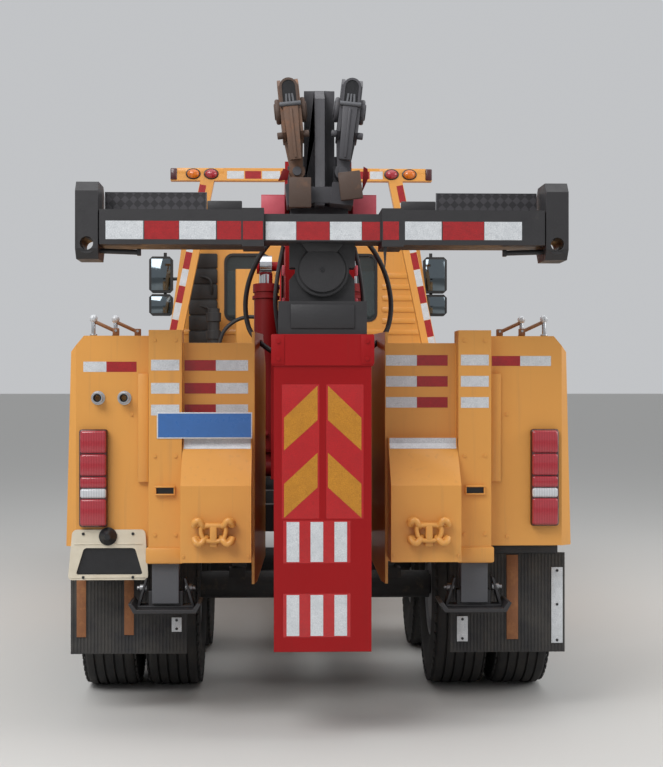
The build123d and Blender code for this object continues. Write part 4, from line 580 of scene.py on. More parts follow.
def addTyre(bm, look, x, y):
    radius, width = look["tyreRadius"], look["tyreWidth"]
    addTurned(bm, tyreSection(look), (x, y, radius), (x + 1, y, radius), steps=72)
    # shoulder blocks cut by cross grooves, one ring on each edge of the tread
    for number in range(look["shoulderLugs"]):
        spin = Matrix.Rotation(2 * math.pi * number / look["shoulderLugs"], 4, "X")
        place = Matrix.Translation((x, y, radius)) @ spin
        for edge in (-1, 1):
            addBlock(bm, (edge * 0.452 * width, -0.019, radius - 0.036),
                     (edge * 0.480 * width, 0.019, radius - 0.010), place=place)


for axle, (y, middles, face) in wheels["axles"].items():
    radius, ring = wheels["tyreRadius"], wheels["nutRing"]
    angles = [2 * math.pi * (number + 0.5) / wheels["nuts"] for number in range(wheels["nuts"])]
    nuts = [(face, y + ring * math.cos(a), radius + ring * math.sin(a)) for a in angles]
    tip = face + wheels["studHigh"]
    studs = [(nut, (tip, nut[1], nut[2]), wheels["studRadius"], 0, 10) for nut in nuts]
    for side, sign in sides.items():
        body, tail = "wheel_" + axle + "_" + side, axle.title() + "_" + side
        bm = bmesh.new()
        for middle in middles:
            addTyre(bm, wheels, sign * middle, y)
        finishPiece("tyre" + tail, bm, tyreRubber, body, "tyre", ("tyre_" + axle + "_" + side,))
        makePiece("wheelNuts" + tail, bareSteel, body, "wheel_paint", (sign,), angle=0,
                  hexes=[(nuts, (1, 0, 0), wheels["nutSize"], wheels["nutHigh"])], rods=studs)
print("wheels made")

# reflective tape on the tail: single strips as (x from, x to, z from, z to), and stacks of three strips as
# (side, x from, x to, how far out), each strip from one of that side's low edges up
tailTape = {
    "white": ((-1.155, -1.043, 1.708, 1.758), (0.986, 1.138, 1.738, 1.787)),
    "red": ((-1.043, -0.896, 1.708, 1.758), (0.846, 0.986, 1.738, 1.787)),
    "whiteStacks": (("left", -0.818, -0.682, 0.1), ("left", -0.509, -0.352, 0), ("right", 0.324, 0.476, 0),
                    ("right", 0.682, 0.818, 0.1)),
    "redStacks": (("left", -0.662, -0.509, 0), ("right", 0.476, 0.628, 0)),
    "lows": {"left": (1.714, 1.602, 1.497), "right": (1.739, 1.636, 1.533)}, "high": 0.052,
}
for colour, material in (("white", whiteTape), ("red", redTape)):
    bm = bmesh.new()
    for left, right, low, high in tailTape[colour]:
        addTape(bm, (left, right), (low, high), tailY)
    for side, left, right, out in tailTape[colour + "Stacks"]:
        for low in tailTape["lows"][side]:
            addTape(bm, (left, right), (low, low + tailTape["high"]), tailY - out)
    finishPiece("tailTape_" + colour, bm, material, angle=0)

# a white strip folded over the top edge of each hook box
hookBoxFold = ((-4.1095, 1.386), (-4.1125, 1.386), (-4.1125, 1.360), (-4.1365, 1.3355), (-4.1345, 1.3335),
               (-4.1095, 1.357))
makePiece("hookBoxStrips", whiteTape, angle=0,
          plates=[([(0.338, y, z) for y, z in hookBoxFold], (0.324, 0, 0), 0)])

# the blank blue plate with its white border
blankSign = {"x": (-0.79, -0.33), "z": (1.385, 1.512), "border": 0.006}
(x0, x1), (z0, z1), rim = blankSign["x"], blankSign["z"], blankSign["border"]
makePiece("signBack", whiteTape, signs=once, blocks=[(x0, x1, tailY - 0.104, tailY - 0.101, z0, z1, 0.001)])
makePiece("signBlank", bluePlate, signs=once, angle=0,
          blocks=[(x0 + rim, x1 - rim, tailY - 0.1046, tailY - 0.1035, z0 + rim, z1 - rim, 0)])

# folded lips, pull handles, collars and bolts on the yellow tail
tailTrim = {
    "lipX": (0.836, 0.888), "lipZ": (1.17, 1.70), "lipOut": 0.024, "handleX": (0.702, 0.798),
    "handleZ": (1.112, 1.158), "wall": 0.006, "footX": (0.664, 0.843), "footZ": (0.782, 0.858),
    "boltRadius": 0.009,
}
(x0, x1), (z0, z1), wall = tailTrim["handleX"], tailTrim["handleZ"], tailTrim["wall"]
makePiece("foldedLipsAndHandles", yellowEnamel, blocks=[
    (*tailTrim["lipX"], tailY - tailTrim["lipOut"], tailY, *tailTrim["lipZ"], 0.005),
    (x0, x1, tailY - 0.122, tailY - 0.099, z0, z0 + 0.007, 0.003),
    (x0, x1, tailY - 0.122, tailY - 0.099, z1 - 0.009, z1, 0.003),
    (x0, x0 + wall, tailY - 0.118, tailY - 0.099, z0, z1, 0.002),
    (x1 - wall, x1, tailY - 0.118, tailY - 0.099, z0, z1, 0.002),
    (*tailTrim["footX"], tailY - 0.112, tailY - 0.02, *tailTrim["footZ"], 0.008)])
# a black sheet inside each handle frame: painted shade in the recess
makePiece("handleRecessShade", blackFitting, angle=0,
          blocks=[(x0 + wall, x1 - wall, tailY - 0.1012, tailY - 0.0995, z0 + wall, z1 - 0.008, 0)])
postBolts = [(x, tailY - 0.1, z) for x in (0.70, 0.80) for z in (0.92, 1.30, 1.86)]
boxBolts = [(0.92, tailY, z) for z in (0.90, 1.50)]
hookBolts = [(x, tailY - 0.25, 0.83) for x in (0.345, 0.655)]
makePiece("tailBolts", yellowEnamel, angle=0, hexes=[
    (postBolts + boxBolts, (0, -1, 0), tailTrim["boltRadius"], 0.006),
    (hookBolts, (0, -1, 0), 0.008, 0.005)])

# cast hooks: a rounded loop with an upright bar inside, a curled horn at each corner and a small tab below
castHooks = {
    "centre": (0.51, tailY - 0.25, 0.95), "barRadius": 0.011, "hornRadius": 0.0155,
    "ballRadius": 0.024, "tipRadius": 0.017,
    "loop": ((-0.050, 0.030), (0.050, 0.030), (0.062, 0.014), (0.052, -0.030), (0.030, -0.044),
             (-0.030, -0.044), (-0.052, -0.030), (-0.062, 0.014)),
    # root, bend and tip of an upper and of a lower horn
    "horns": ((0.050, 0.026, 0.066, 0.058, 0.088, 0.046),
              (0.042, -0.034, 0.062, -0.060, 0.086, -0.048)),
    # half width, y from, y to, z from, z to and edge of the bar, the tab and the foot plate
    "blocks": ((0.017, -0.052, 0, -0.046, 0.034, 0.006), (0.020, -0.034, 0, -0.074, -0.040, 0.008),
               (0.062, -0.012, 0, -0.048, 0.040, 0.010)),
}
bm = bmesh.new()
for sign in sides.values():
    centre = Vector(flipped(sign, castHooks["centre"])[0])
    ring = [centre + Vector((x, -0.042, z)) for x, z in castHooks["loop"]]
    addTube(bm, ring, castHooks["barRadius"], steps=12, closed=True)
    for across in (-1, 1):
        for rootX, rootZ, bendX, bendZ, tipX, tipZ in castHooks["horns"]:
            line = flipped(across, (rootX * 0.8, -0.020, rootZ * 0.9), (rootX, -0.045, rootZ),
                           (bendX, -0.052, bendZ), (tipX, -0.050, tipZ), (tipX + 0.004, -0.034, tipZ * 0.66))
            addTube(bm, [centre + Vector(point) for point in line], castHooks["hornRadius"], steps=12)
            ball, start, end = flipped(across, (tipX * 0.93, -0.024, tipZ * 0.88),
                                       (tipX * 0.82, 0, tipZ * 0.8), (tipX * 0.88, -0.045, tipZ * 0.92))
            addBall(bm, centre + Vector(ball), castHooks["ballRadius"])
            addRod(bm, centre + Vector(start), centre + Vector(end), castHooks["tipRadius"])
    for half, y0, y1, z0, z1, edge in castHooks["blocks"]:
        addBlock(bm, centre + Vector((-half, y0, z0)), centre + Vector((half, y1, z1)), edge)
finishPiece("castHooks", bm, yellowEnamel, replaced=("tail_claws",), angle=60)
print("tail trimmed")

# tail lamps: a dark rounded tray with five lenses, the fourth one clear
tailLamps = {
    "x": (1.032, 1.172), "z": (0.953, 1.429), "out": 0.055, "rim": 0.007, "corner": 0.014,
    "red": ((1.312, 1.422), (1.202, 1.308), (1.144, 1.198), (0.960, 1.090)),
    "clear": ((1.094, 1.141),),
}
(x0, x1), out, rim = tailLamps["x"], tailY - tailLamps["out"], tailLamps["rim"]
makePiece("tailLampTrays", lampTray, slot="lamp_lens", replaced=("lamps",),
          blocks=[(x0, x1, out + 0.010, tailY, *tailLamps["z"], tailLamps["corner"], 3)])
for colour, material in (("red", redLens), ("clear", clearLens)):
    makePiece("tailLampLenses_" + colour, material, slot="lamp_lens", angle=50, blocks=[
        (x0 + rim, x1 - rim, out, tailY - 0.03, low, high, 0.012, 4) for low, high in tailLamps[colour]])

# lamps on the frame behind the cab: amber and red domes that look backwards, and a marker at each end
gantryLamps = {
    "Amber": 0.930, "Red": 0.775, "z": 3.468, "y": 2.12, "radius": 0.041, "depth": 0.032,
    "markerX": (1.068, 1.125), "stretch": 1.35,
}
r, deep, y, z = [gantryLamps[key] for key in ("radius", "depth", "y", "z")]
base = [(0, 0), (0, r + 0.006), (0.006, r + 0.006), (0.009, r), (0.009, 0)]
dome = [(0.010, 0), (0.010, r - 0.002), (0.018, r - 0.004), (0.026, r * 0.80), (deep, r * 0.50),
        (deep + 0.003, 0)]
bases = bmesh.new()
for colour, material in (("Amber", amberLens), ("Red", redLens)):
    domes = bmesh.new()
    for sign in sides.values():
        wide = Matrix.Diagonal((gantryLamps["stretch"], 1, 1, 1))
        wide = Matrix.Translation((sign * gantryLamps[colour], 0, 0)) @ wide
        addTurned(bases, base, (0, y + 0.001, z), (0, y - 1, z), wide)
        addTurned(domes, dome, (0, y, z), (0, y - 1, z), wide)
    finishPiece("beacons" + colour, domes, material, slot="lamp_lens", angle=60)
finishPiece("beaconBases", bases, blackFitting, slot="lamp_lens")
x0, x1 = gantryLamps["markerX"]
makePiece("endMarkers", lampTray, slot="lamp_lens", blocks=[(x0, x1, 2.112, 2.221, 3.416, 3.517, 0.010, 3)])
makePiece("beaconHousings", yellowEnamel, blocks=[(0.668, x0 + 0.004, 2.1205, 2.2195, 3.466, 3.5195, 0.006)])

# headlamps: a black tray, two bright bowls and a clear cover on each side, with an amber indicator
headLamps = {
    "x": (0.7603, 1.0797), "y": (4.5385, 4.5695), "z": (0.5703, 0.7597),
    "indicatorX": (1.052, 1.073), "bowls": ((0.835, 0.078), (0.985, 0.062)),
}
(x0, x1), (y0, y1), (z0, z1) = [headLamps[key] for key in ("x", "y", "z")]
bowls = []
for x, r in headLamps["bowls"]:
    ring = [(0, r), (0.012, r), (0.012, r - 0.008), (0.004, r * 0.6), (0.001, 0.004), (0, 0.004)]
    bowls.append((ring, (x, y1 - 0.018, (z0 + z1) / 2), (x, y1 + 1, (z0 + z1) / 2)))
makePiece("headlampTrays", blackFitting, slot="lamp_lens", blocks=[(x0, x1, y0, y1 - 0.016, z0, z1, 0.006)])
makePiece("headlampBowls", chromeRod, slot="lamp_lens", turned=bowls)
makePiece("headlampCovers", lampGlass, slot="lamp_lens",
          blocks=[(x0 + 0.003, x1 - 0.003, y1 - 0.005, y1 - 0.0005, z0 + 0.003, z1 - 0.003, 0.002)])
makePiece("headlampIndicators", amberLens, slot="lamp_lens",
          blocks=[(*headLamps["indicatorX"], y1 - 0.015, y1 - 0.006, z0 + 0.02, z1 - 0.02, 0.003)])
# slats and a dark mesh in the bumper's two air openings
bumperVents = {
    "x": (0.0305, 0.2695), "y": (4.572, 4.592), "z": (0.541, 0.699), "slatHigh": 0.012,
    "slats": (0.560, 0.596, 0.632, 0.668),
}
(x0, x1), (y0, y1) = bumperVents["x"], bumperVents["y"]
slats = [(x0, x1, y0, y1, z, z + bumperVents["slatHigh"], 0.003) for z in bumperVents["slats"]]
makePiece("bumperVents", trimPlastic, slot="chassis_paint",
          blocks=[(x0, x1, y0 - 0.003, y0, *bumperVents["z"], 0), *slats])
print("lamps made")

# the number plate frame: cream, its window wider at the foot, a small lamp on top and a bolt in each corner
plateFrame = {
    "x": (-1.228, -0.837), "z": (0.694, 0.939), "thick": 0.018,
    "outline": ((-1.228, 0.694), (-0.837, 0.694), (-0.852, 0.939), (-1.206, 0.939)),
    "window": ((-1.190, 0.720), (-0.864, 0.720), (-0.902, 0.850), (-1.150, 0.850)),
    "lamp": ((0, 0), (0, 0.044), (0.010, 0.044), (0.016, 0.034), (0.030, 0.028), (0.036, 0.018),
             (0.044, 0.014), (0.044, 0)),
}
(x0, x1), (z0, z1), thick = plateFrame["x"], plateFrame["z"], plateFrame["thick"]
middle = (x0 + x1) / 2
bm = bmesh.new()
addFrame(bm, plateFrame["outline"], plateFrame["window"], tailY - thick, thick - 0.0005, 0.022, 0.014)
makePiece("plateFrame", creamPaint, slot="fitting_metal", signs=once, bm=bm, replaced=("rear_fittings",),
          blocks=[(x0 + 0.016, x1 - 0.016, tailY - 0.0215, tailY - 0.0165, z0 + 0.010, z0 + 0.016, 0.002),
                  (x0 + 0.030, x1 - 0.030, tailY - 0.0215, tailY - 0.0165, z1 - 0.072, z1 - 0.066, 0.002)])
bolts = [(x, tailY - 0.018, z) for x in (x0 + 0.075, x1 - 0.075) for z in (z1 - 0.020, z0 + 0.013)]
makePiece("plateLampAndBolts", blackFitting, slot="fitting_metal", signs=once, angle=40,
          turned=[(plateFrame["lamp"], (middle, tailY - 0.017, z1 - 0.032), (middle, tailY - 1, z1 - 0.032))],
          hexes=[(bolts, (0, -1, 0), 0.008, 0.005)],
          blocks=[(x0 + 0.040, x1 - 0.030, tailY - 0.004, tailY - 0.0003, 0.714, 0.856, 0)])

# air couplings: a plated flange with a dark rubber face and a bore
airCouplings = {
    "x": (-1.083, -0.955), "z": 1.581,
    "airCouplings": ((0, 0.0135), (0, 0.034), (0.006, 0.034), (0.008, 0.022), (0.034, 0.022),
                     (0.036, 0.028), (0.046, 0.028), (0.048, 0.026), (0.048, 0.020),
                     (0.030, 0.0185), (0.030, 0.0135)),
    "airCouplingSeals": ((0.031, 0.0135), (0.031, 0.0183), (0.045, 0.0195), (0.046, 0.0165),
                         (0.040, 0.0135)),
}
z = airCouplings["z"]
for name, material in (("airCouplings", silverFitting), ("airCouplingSeals", hoseRubber)):
    makePiece(name, material, slot="fitting_metal", signs=once, turned=[
        (airCouplings[name], (x, tailY, z), (x, tailY - 1, z)) for x in airCouplings["x"]])

# control levers: a pale ball on a short plated post, and a brown rod that slopes inwards to its fork
levers = {
    "places": ((1.010, -3.930), (1.110, -4.010)), "ballZ": 1.970, "rootZ": 1.907, "reach": 0.110,
    "rod": 0.009, "ball": 0.020,
}
balls, posts, rods, forks = bmesh.new(), [], [], []
for x, y in levers["places"]:
    z, rootX, rootZ = levers["ballZ"], x - levers["reach"], levers["rootZ"]
    for sign in sides.values():
        addBall(balls, (sign * x, y, z), levers["ball"])
    posts += [((x, y, z - 0.0845), (x, y, z - 0.012), 0.010, 0.002),
              ((x, y, z - 0.0845), (x, y, z - 0.076), 0.018, 0.002),
              ((rootX, y - 0.018, rootZ + 0.004), (rootX, y + 0.018, rootZ + 0.004), 0.006, 0)]
    rods.append(((x, y, z - 0.012), (rootX, y, rootZ), levers["rod"], 0.002))
    forks.append((rootX - 0.016, rootX + 0.016, y - 0.012, y + 0.012, rootZ - 0.0215, rootZ + 0.016, 0.004))
finishPiece("leverBalls", balls, clearLens, slot="fitting_metal", angle=60)
makePiece("leverPosts", silverFitting, slot="fitting_metal", rods=posts)
makePiece("leverRods", brownLever, slot="fitting_metal", rods=rods, blocks=forks)
print("rear fittings made")

# mudflaps: ribbed rubber with rusty straps, white reflectors and a dark rail to hang from
flaps = {
    "x": (0.66, 1.24), "z": (0.30, 0.80), "face": -3.85, "ribs": 34, "ribHigh": 0.003,
    # x from, x to, z from, z to
    "flapStraps": ((-1.210, -1.163, 0.385, 0.79), (-0.973, -0.925, 0.395, 0.79),
                   (0.945, 1.003, 0.365, 0.79)),
    "flapReflectors": ((-0.737, -0.687, 0.410, 0.482), (0.694, 0.749, 0.355, 0.482),
                       (1.171, 1.229, 0.345, 0.727)),
    "rivets": ((-0.712, (0.425, 0.468)), (0.7215, (0.37, 0.467)), (1.20, (0.36, 0.54, 0.71))),
}
(x0, x1), (z0, z1), face = flaps["x"], flaps["z"], flaps["face"]
pitch = (x1 - x0) / flaps["ribs"]
rows = [(x0, x1, face - 0.002, face - 0.0005, z0, z1, 0)]
for number in range(flaps["ribs"]):
    low, out = x0 + (number + 0.2) * pitch, face - 0.002 - flaps["ribHigh"]
    rows.append((low, low + pitch * 0.55, out, face - 0.0018, z0 + 0.004, z1 - 0.004, 0))
makePiece("ribbedFlaps", flapRubber, slot="fender_plastic", angle=0, blocks=rows)
makePiece("flapRails", chassisPaint, slot="fender_plastic",
          blocks=[(0.84, 1.20, face - 0.030, face + 0.020, 0.800, 0.853, 0.005)])
for name, material, edge in (("flapStraps", rustyStrap, 0.0015), ("flapReflectors", whiteTape, 0.002)):
    makePiece(name, material, slot="fender_plastic", signs=once, blocks=[
        (low, high, face - 0.010, face - 0.005, bottom, top, edge) for low, high, bottom, top in flaps[name]])
makePiece("reflectorRivets", blackFitting, slot="fender_plastic", signs=once, angle=0, rods=[
    ((x, face - 0.0095, z), (x, face - 0.0125, z), 0.007, 0, 12)
    for x, levels in flaps["rivets"] for z in levels])

# legs: sloped plates of the fork above each foot, its cross pin and the pin's rings
legTrim = {
    "middle": 0.75, "face": -4.0655, "pinZ": 0.655,
    "blade": ((0.128, 0.562), (0.142, 0.562), (0.098, 0.705), (0.088, 0.705)),
}
mid, y, z = legTrim["middle"], legTrim["face"], legTrim["pinZ"]
blades, pins = [], []
for across in (-1, 1):
    outline = [(mid + across * out, y - 0.045, height) for out, height in legTrim["blade"]]
    blades.append((outline, (0, 0.090, 0), 0.002))
    for start, end, radius, edge in ((0.092, 0.128, 0.018, 0.003), (0.120, 0.142, 0.010, 0.002)):
        pins.append(((mid + across * start, y, z), (mid + across * end, y, z), radius, edge))
for side, sign in sides.items():
    makePiece("legForkPlates_" + side, underliftPaint, "leg_" + side, "leg_steel", (sign,), plates=blades,
              blocks=[(mid - 0.135, mid + 0.135, y - 0.052, y + 0.052, 0.562, 0.574, 0.003)])
    makePiece("legPins_" + side, bareSteel, "leg_" + side, "leg_steel", (sign,), rods=pins)
print("legs and flaps made")

# the red stinger: brighter film panels with gold chevrons, and short white strips below them
stinger = {
    "face": -4.55, "overFilm": 0.0006, "film": ((0.016, 0.188), (1.028, 1.646)), "inner": 0.024,
    "outer": 0.178, "chevrons": ((1.640, 1.492, 1.342, 1.482), (1.331, 1.188, 1.032, 1.172)),
    "strips": (-0.137, -0.027, 0.083), "stripWide": 0.058, "rows": ((0.829, 1.013), (0.489, 0.677)),
}
near, far = stinger["film"][0]
x0, x1, y = stinger["inner"], stinger["outer"], stinger["face"] - stinger["overFilm"]
film, whites = bmesh.new(), bmesh.new()
for sign in sides.values():
    addTape(film, (sign * near, sign * far), stinger["film"][1], stinger["face"])
for low, high in stinger["rows"]:
    ends = (stinger["strips"][0] - 0.045, stinger["strips"][-1] + 0.045)
    addTape(film, ends, (low - 0.006, high + 0.006), stinger["face"])
    for x in stinger["strips"]:
        addTape(whites, (x - stinger["stripWide"] / 2, x + stinger["stripWide"] / 2), (low, high), y)
finishPiece("stingerFilm", film, brightRedFilm, "stinger", "boom_paint", angle=0)
finishPiece("stingerStrips", whites, whiteTape, "stinger", "boom_paint", angle=0)
makePiece("stingerChevrons", goldFilm, "stinger", "boom_paint", angle=0, plates=[
    ([(x0, y, innerLow), (x1, y, outerLow), (x1, y, outerTop), (x0, y, innerTop)], (0, -0.0008, 0), 0)
    for innerTop, outerTop, outerLow, innerLow in stinger["chevrons"]])
# wrapped corner plates and bolts of the collar
makePiece("collarPlates", redEnamel, "stinger", "boom_paint",
          blocks=[(0.176, 0.2365, -4.5625, -4.5585, 1.740, 1.874, 0.002),
                  (0.2335, 0.2375, -4.5625, -4.43, 1.740, 1.874, 0.0015)],
          rods=[((0.205, -4.562, z), (0.205, -4.568, z), 0.010, 0, 12) for z in (1.765, 1.845)])

# the tongue and its swivel disc
swivel = {
    "face": -4.4655, "z": 2.18,
    "discs": (((0, 0.0), (0, 0.108), (0.013, 0.108), (0.0160, 0.104), (0.0160, 0.0)),
              ((0, 0.113), (0, 0.122), (0.004, 0.122), (0.004, 0.113))),
    "tongue": ((-0.095, 2.316), (-0.095, 2.296), (-0.070, 2.262), (0.070, 2.262), (0.095, 2.296),
               (0.095, 2.316)),
}
y, z = swivel["face"], swivel["z"]
makePiece("swivelDisc", underliftPaint, "crossbar", "underlift_paint", once,
          turned=[(disc, (0, y, z), (0, -6, z), 64) for disc in swivel["discs"]],
          plates=[([(x, -4.492, height) for x, height in swivel["tongue"]], (0, 0.028, 0), 0.003)])
makePiece("swivelGreasePlug", blackFitting, "crossbar", "underlift_paint", once,
          rods=[((0, -4.480, z), (0, -4.486, z), 0.010, 0, 16)])
makePiece("stingerHeadPlate", underliftPaint, "stinger_slide", "underlift_paint", once,
          blocks=[(-0.1475, 0.1475, -4.5375, -4.5305, 1.905, 2.015, 0.003)])

# the crossbar: tape, tread plate with a pale lip, a plain bar inboard, and a hanging pin
for colour, material in (("White", whiteTape), ("Red", redTape)):
    bm = bmesh.new()
    for ends in bar[colour.lower()]:
        addTape(bm, ends, bar["z"], bar["face"])
    for ends in bar["centre" + colour]:
        addTape(bm, ends, bar["z"], bar["centreFace"])
    finishPiece("crossbarTape" + colour, bm, material, "crossbar", "underlift_paint", angle=0)
makePiece("treadStrips", chequerPlate, "crossbar", "underlift_paint", angle=0,
          blocks=[(0.541, 1.017, -4.3682, -4.3648, 2.446, 2.547, 0)])
makePiece("treadLips", greySteel, "crossbar", "underlift_paint",
          blocks=[(0.541, 1.017, -4.3700, -4.358, 2.5465, 2.5497, 0.001),
                  (0.541, 0.545, -4.3695, -4.3640, 2.446, 2.547, 0.001)])
bm = bmesh.new()
addRod(bm, (0.286, -4.565, 2.278), (0.286, -4.565, 2.185), 0.009, steps=12, endRadius=0.002)
makePiece("crossbarPlainBars", underliftPaint, "crossbar", "underlift_paint", bm=bm,
          blocks=[(0.375, 0.538, -4.374, -4.350, 2.4452, 2.510, 0.004)])
# the head plate's bracket bar under the arm, its bore ring and its bolts
boreRing = [(0, 0.031), (0, 0.046), (0.006, 0.046), (0.008, 0.042), (0.008, 0.031)]
bolts = [(1.1295, y, z) for y in (-4.52, -4.385) for z in (2.34, 2.50)]
for side, sign in sides.items():
    makePiece("armBracket_" + side, underliftPaint, "arm_" + side, "underlift_paint", (sign,),
              rods=[((1.030, -4.50, 2.262), (0.850, -4.50, 2.256), 0.012, 0.003)],
              blocks=[(0.838, 0.856, -4.514, -4.486, 2.240, 2.272, 0.003)],
              turned=[(boreRing, (1.078, -4.5915, 2.29), (1.078, -4.0, 2.29))],
              hexes=[(bolts, (1, 0, 0), 0.013, 0.008)])
print("underlift dressed")

# sheave heads: an arch whose mouth is a black sheet as painted shade, three rope falls, round bosses on the
# cheeks and a tapered arm
sheaveHead = {
    "x": 0.113, "pinZ": 2.69, "lean": 6.0, "front": -4.12, "archZ": 0.407, "archIn": 0.033,
    "archOut": 0.044, "falls": (-0.018, 0.0, 0.018), "bossZ": 0.300, "bossRadius": 0.040,
    "archSteel": {"right": boomTipPaint, "left": tipBlockIron},
}
y, top, inside, outside = [sheaveHead[key] for key in ("front", "archZ", "archIn", "archOut")]
bossZ = sheaveHead["bossZ"]
armOutline = [(-0.028, 0.050), (0.028, 0.050), (0.037, 0.312), (-0.037, 0.312)]
for side, sign in sides.items():
    lean = Matrix.Rotation(math.radians(sign * sheaveHead["lean"]), 4, "Y")
    place = Matrix.Translation((sign * sheaveHead["x"], 0, sheaveHead["pinZ"])) @ lean
    body = "sheave_" + side
    # the arch is half a square ring with two straight legs
    bm = bmesh.new()
    corners = ((inside, -0.004), (outside, -0.004), (outside, 0.030), (inside, 0.030))
    ring = [bm.verts.new((x, y + back, top)) for x, back in corners]
    edges = [bm.edges.new((a, b)) for a, b in zip(ring, ring[1:] + ring[:1])]
    bmesh.ops.spin(bm, geom=ring + edges, cent=(0, 0, top), axis=(0, -1, 0), angle=math.pi, steps=16)
    bmesh.ops.transform(bm, matrix=place, verts=bm.verts)
    bmesh.ops.holes_fill(bm, edges=bm.edges, sides=4)
    makePiece("sheaveArch_" + side, sheaveHead["archSteel"][side], body, "sheave_steel", bm=bm, place=place,
              blocks=[(inside, outside, y - 0.004, y + 0.030, 0.300, top, 0)],
              rods=[((0.050, y + 0.075, bossZ), (0.074, y + 0.075, bossZ), 0.062, 0.008),
                    ((0.071, y + 0.070, bossZ), (0.080, y + 0.070, bossZ), sheaveHead["bossRadius"], 0.004),
                    ((0.050, y + 0.030, 0.176), (0.078, y + 0.030, 0.176), 0.017, 0.004)])
    # a thin black sheet and disc fill the arch's opening: painted shade
    makePiece("sheaveMouthShade_" + side, blackFitting, body, "sheave_steel", once, place=place, angle=0,
              blocks=[(-inside, inside, y + 0.0015, y + 0.004, 0.325, top, 0)],
              rods=[((0, y + 0.0015, top), (0, y + 0.004, top), inside, 0, 32)])
    makePiece("sheaveFalls_" + side, greySteel, body, "sheave_steel", once, place=place, rods=[
        ((x, y - 0.006, 0.322), (x * 0.8, y + 0.001, 0.372), 0.0055, 0, 10) for x in sheaveHead["falls"]])
    makePiece("sheaveGuard_" + side, greySteel, body, "sheave_steel", once, place=place,
              rods=[((-0.052, y - 0.010, 0.322), (0.052, y - 0.010, 0.322), 0.011, 0.002, 16)])
    makePiece("sheaveArm_" + side, headSteel[side], body, "sheave_steel", once, place=place,
              plates=[([(x, y - 0.012, z) for x, z in armOutline], (0, 0.052, 0), 0.005)],
              blocks=[(-0.006, 0.006, y - 0.020, y - 0.011, 0.060, 0.300, 0.003)])

# iron blocks at the tip in front of the saddles, with dark red plates beside them that stand for the red sides
# in shade: painted shade
tipBlocks = {"left": (-0.152, -0.045, 2.505, 2.650, 0.0), "right": (0.092, 0.200, 2.545, 2.680, -7.0)}
for side, (x0, x1, z0, z1, tilt) in tipBlocks.items():
    middle = Vector(((x0 + x1) / 2, 0, (z0 + z1) / 2))
    lean = Matrix.Rotation(math.radians(tilt), 4, "Y")
    makePiece("tipBlock_" + side, tipBlockIron, "boom_slide", "sheave_steel", once,
              place=Matrix.Translation(middle) @ lean @ Matrix.Translation(-middle),
              blocks=[(x0, x1, -4.150, -4.111, z0, z1, 0.004)])
# dark red plates facing backwards in place of the shaded red side faces: painted shade
shadedRedSides = (((0.205, 2.585), (0.236, 2.655), (0.232, 2.700), (0.212, 2.712)),
             ((-0.205, 2.640), (-0.158, 2.645), (-0.150, 2.690), (-0.180, 2.700)))
makePiece("tipShadedRedSides", darkRedEnamel, "boom_slide", "boom_paint", once, plates=[
    ([(x, -4.09, z) for x, z in outline], (0, 0.012, 0), 0.002) for outline in shadedRedSides])
# a face and a top at the boom's corner in pink: painted highlight where light falls on the red
makePiece("boomCornerHighlights", highlightPink, "boom", "boom_paint",
          blocks=[(0.172, 0.2895, -3.8375, -3.8345, 2.502, 2.598, 0.001),
                  (0.172, 0.2895, -3.834, -3.692, 2.5995, 2.602, 0.001)])
print("boom tip made")

boomLine = {"lean": 11.2, "pivot": (1.15, 1.6)}


def onBoom(x, back, up):
    # a point in the boom's own frame: back from the pivot towards the tail, up from its axis
    lean = math.radians(boomLine["lean"])
    y, z = boomLine["pivot"]
    return (x, y - back * math.cos(lean) + up * math.sin(lean),
            z + back * math.sin(lean) + up * math.cos(lean))


# rope wound on the two drums, and the falls along the top of the boom
winches = {
    "front": (0.619, 2.1083), "rear": (0.0694, 2.2172), "coil": 0.0095, "coils": 11, "core": 0.1105,
    "bed": 0.121, "half": 0.107, "rope": 0.008,
}
half, step = winches["half"], 2 * winches["half"] / winches["coils"]
profile = [(-half, winches["core"])]
for number in range(winches["coils"]):
    for share, rise in ((0.08, 0.35), (0.3, 0.85), (0.5, 1.0), (0.7, 0.85), (0.92, 0.35)):
        profile.append((-half + (number + share) * step, winches["bed"] + rise * winches["coil"]))
profile.append((half, winches["core"]))
for name in ("front", "rear"):
    y, z = winches[name]
    makePiece("woundRope_" + name, wireRope, "winch_" + name, "drum_steel", once,
              turned=[(profile, (0, y, z), (1, y, z), 40)])
rightFall = ((0.05, 1.18, 0.246), (0.055, 1.7, 0.237), (0.06, 3.2, 0.236), (0.06, 4.82, 0.236))
leftFall = ((-0.05, 0.62, 0.246), (-0.055, 1.2, 0.237), (-0.06, 3.0, 0.236), (-0.06, 4.82, 0.236))
makePiece("boomFalls", wireRope, "boom", "drum_steel", once, tubes=[
    ([onBoom(*point) for point in line], winches["rope"], 10) for line in (leftFall, rightFall)])
(x0, y0, z0), (x1, y1, z1) = onBoom(0.046, 4.80, 0.2205), onBoom(0.074, 4.90, 0.252)
makePiece("ropeSockets", redEnamel, "boom", "boom_paint", blocks=[(x0, x1, y0, y1, z0, z1, 0.004)],
          rods=[(onBoom(0.170, 3.5, 0.0), onBoom(0.1725, 3.5, 0.0), 0.03, 0.0008)])
makePiece("tipFalls", wireRope, "boom_slide", "drum_steel",
          tubes=[([(0.113, -3.845, 2.76), (0.113, -3.86, 2.90), (0.115, -3.90, 3.02)], winches["rope"], 10)])
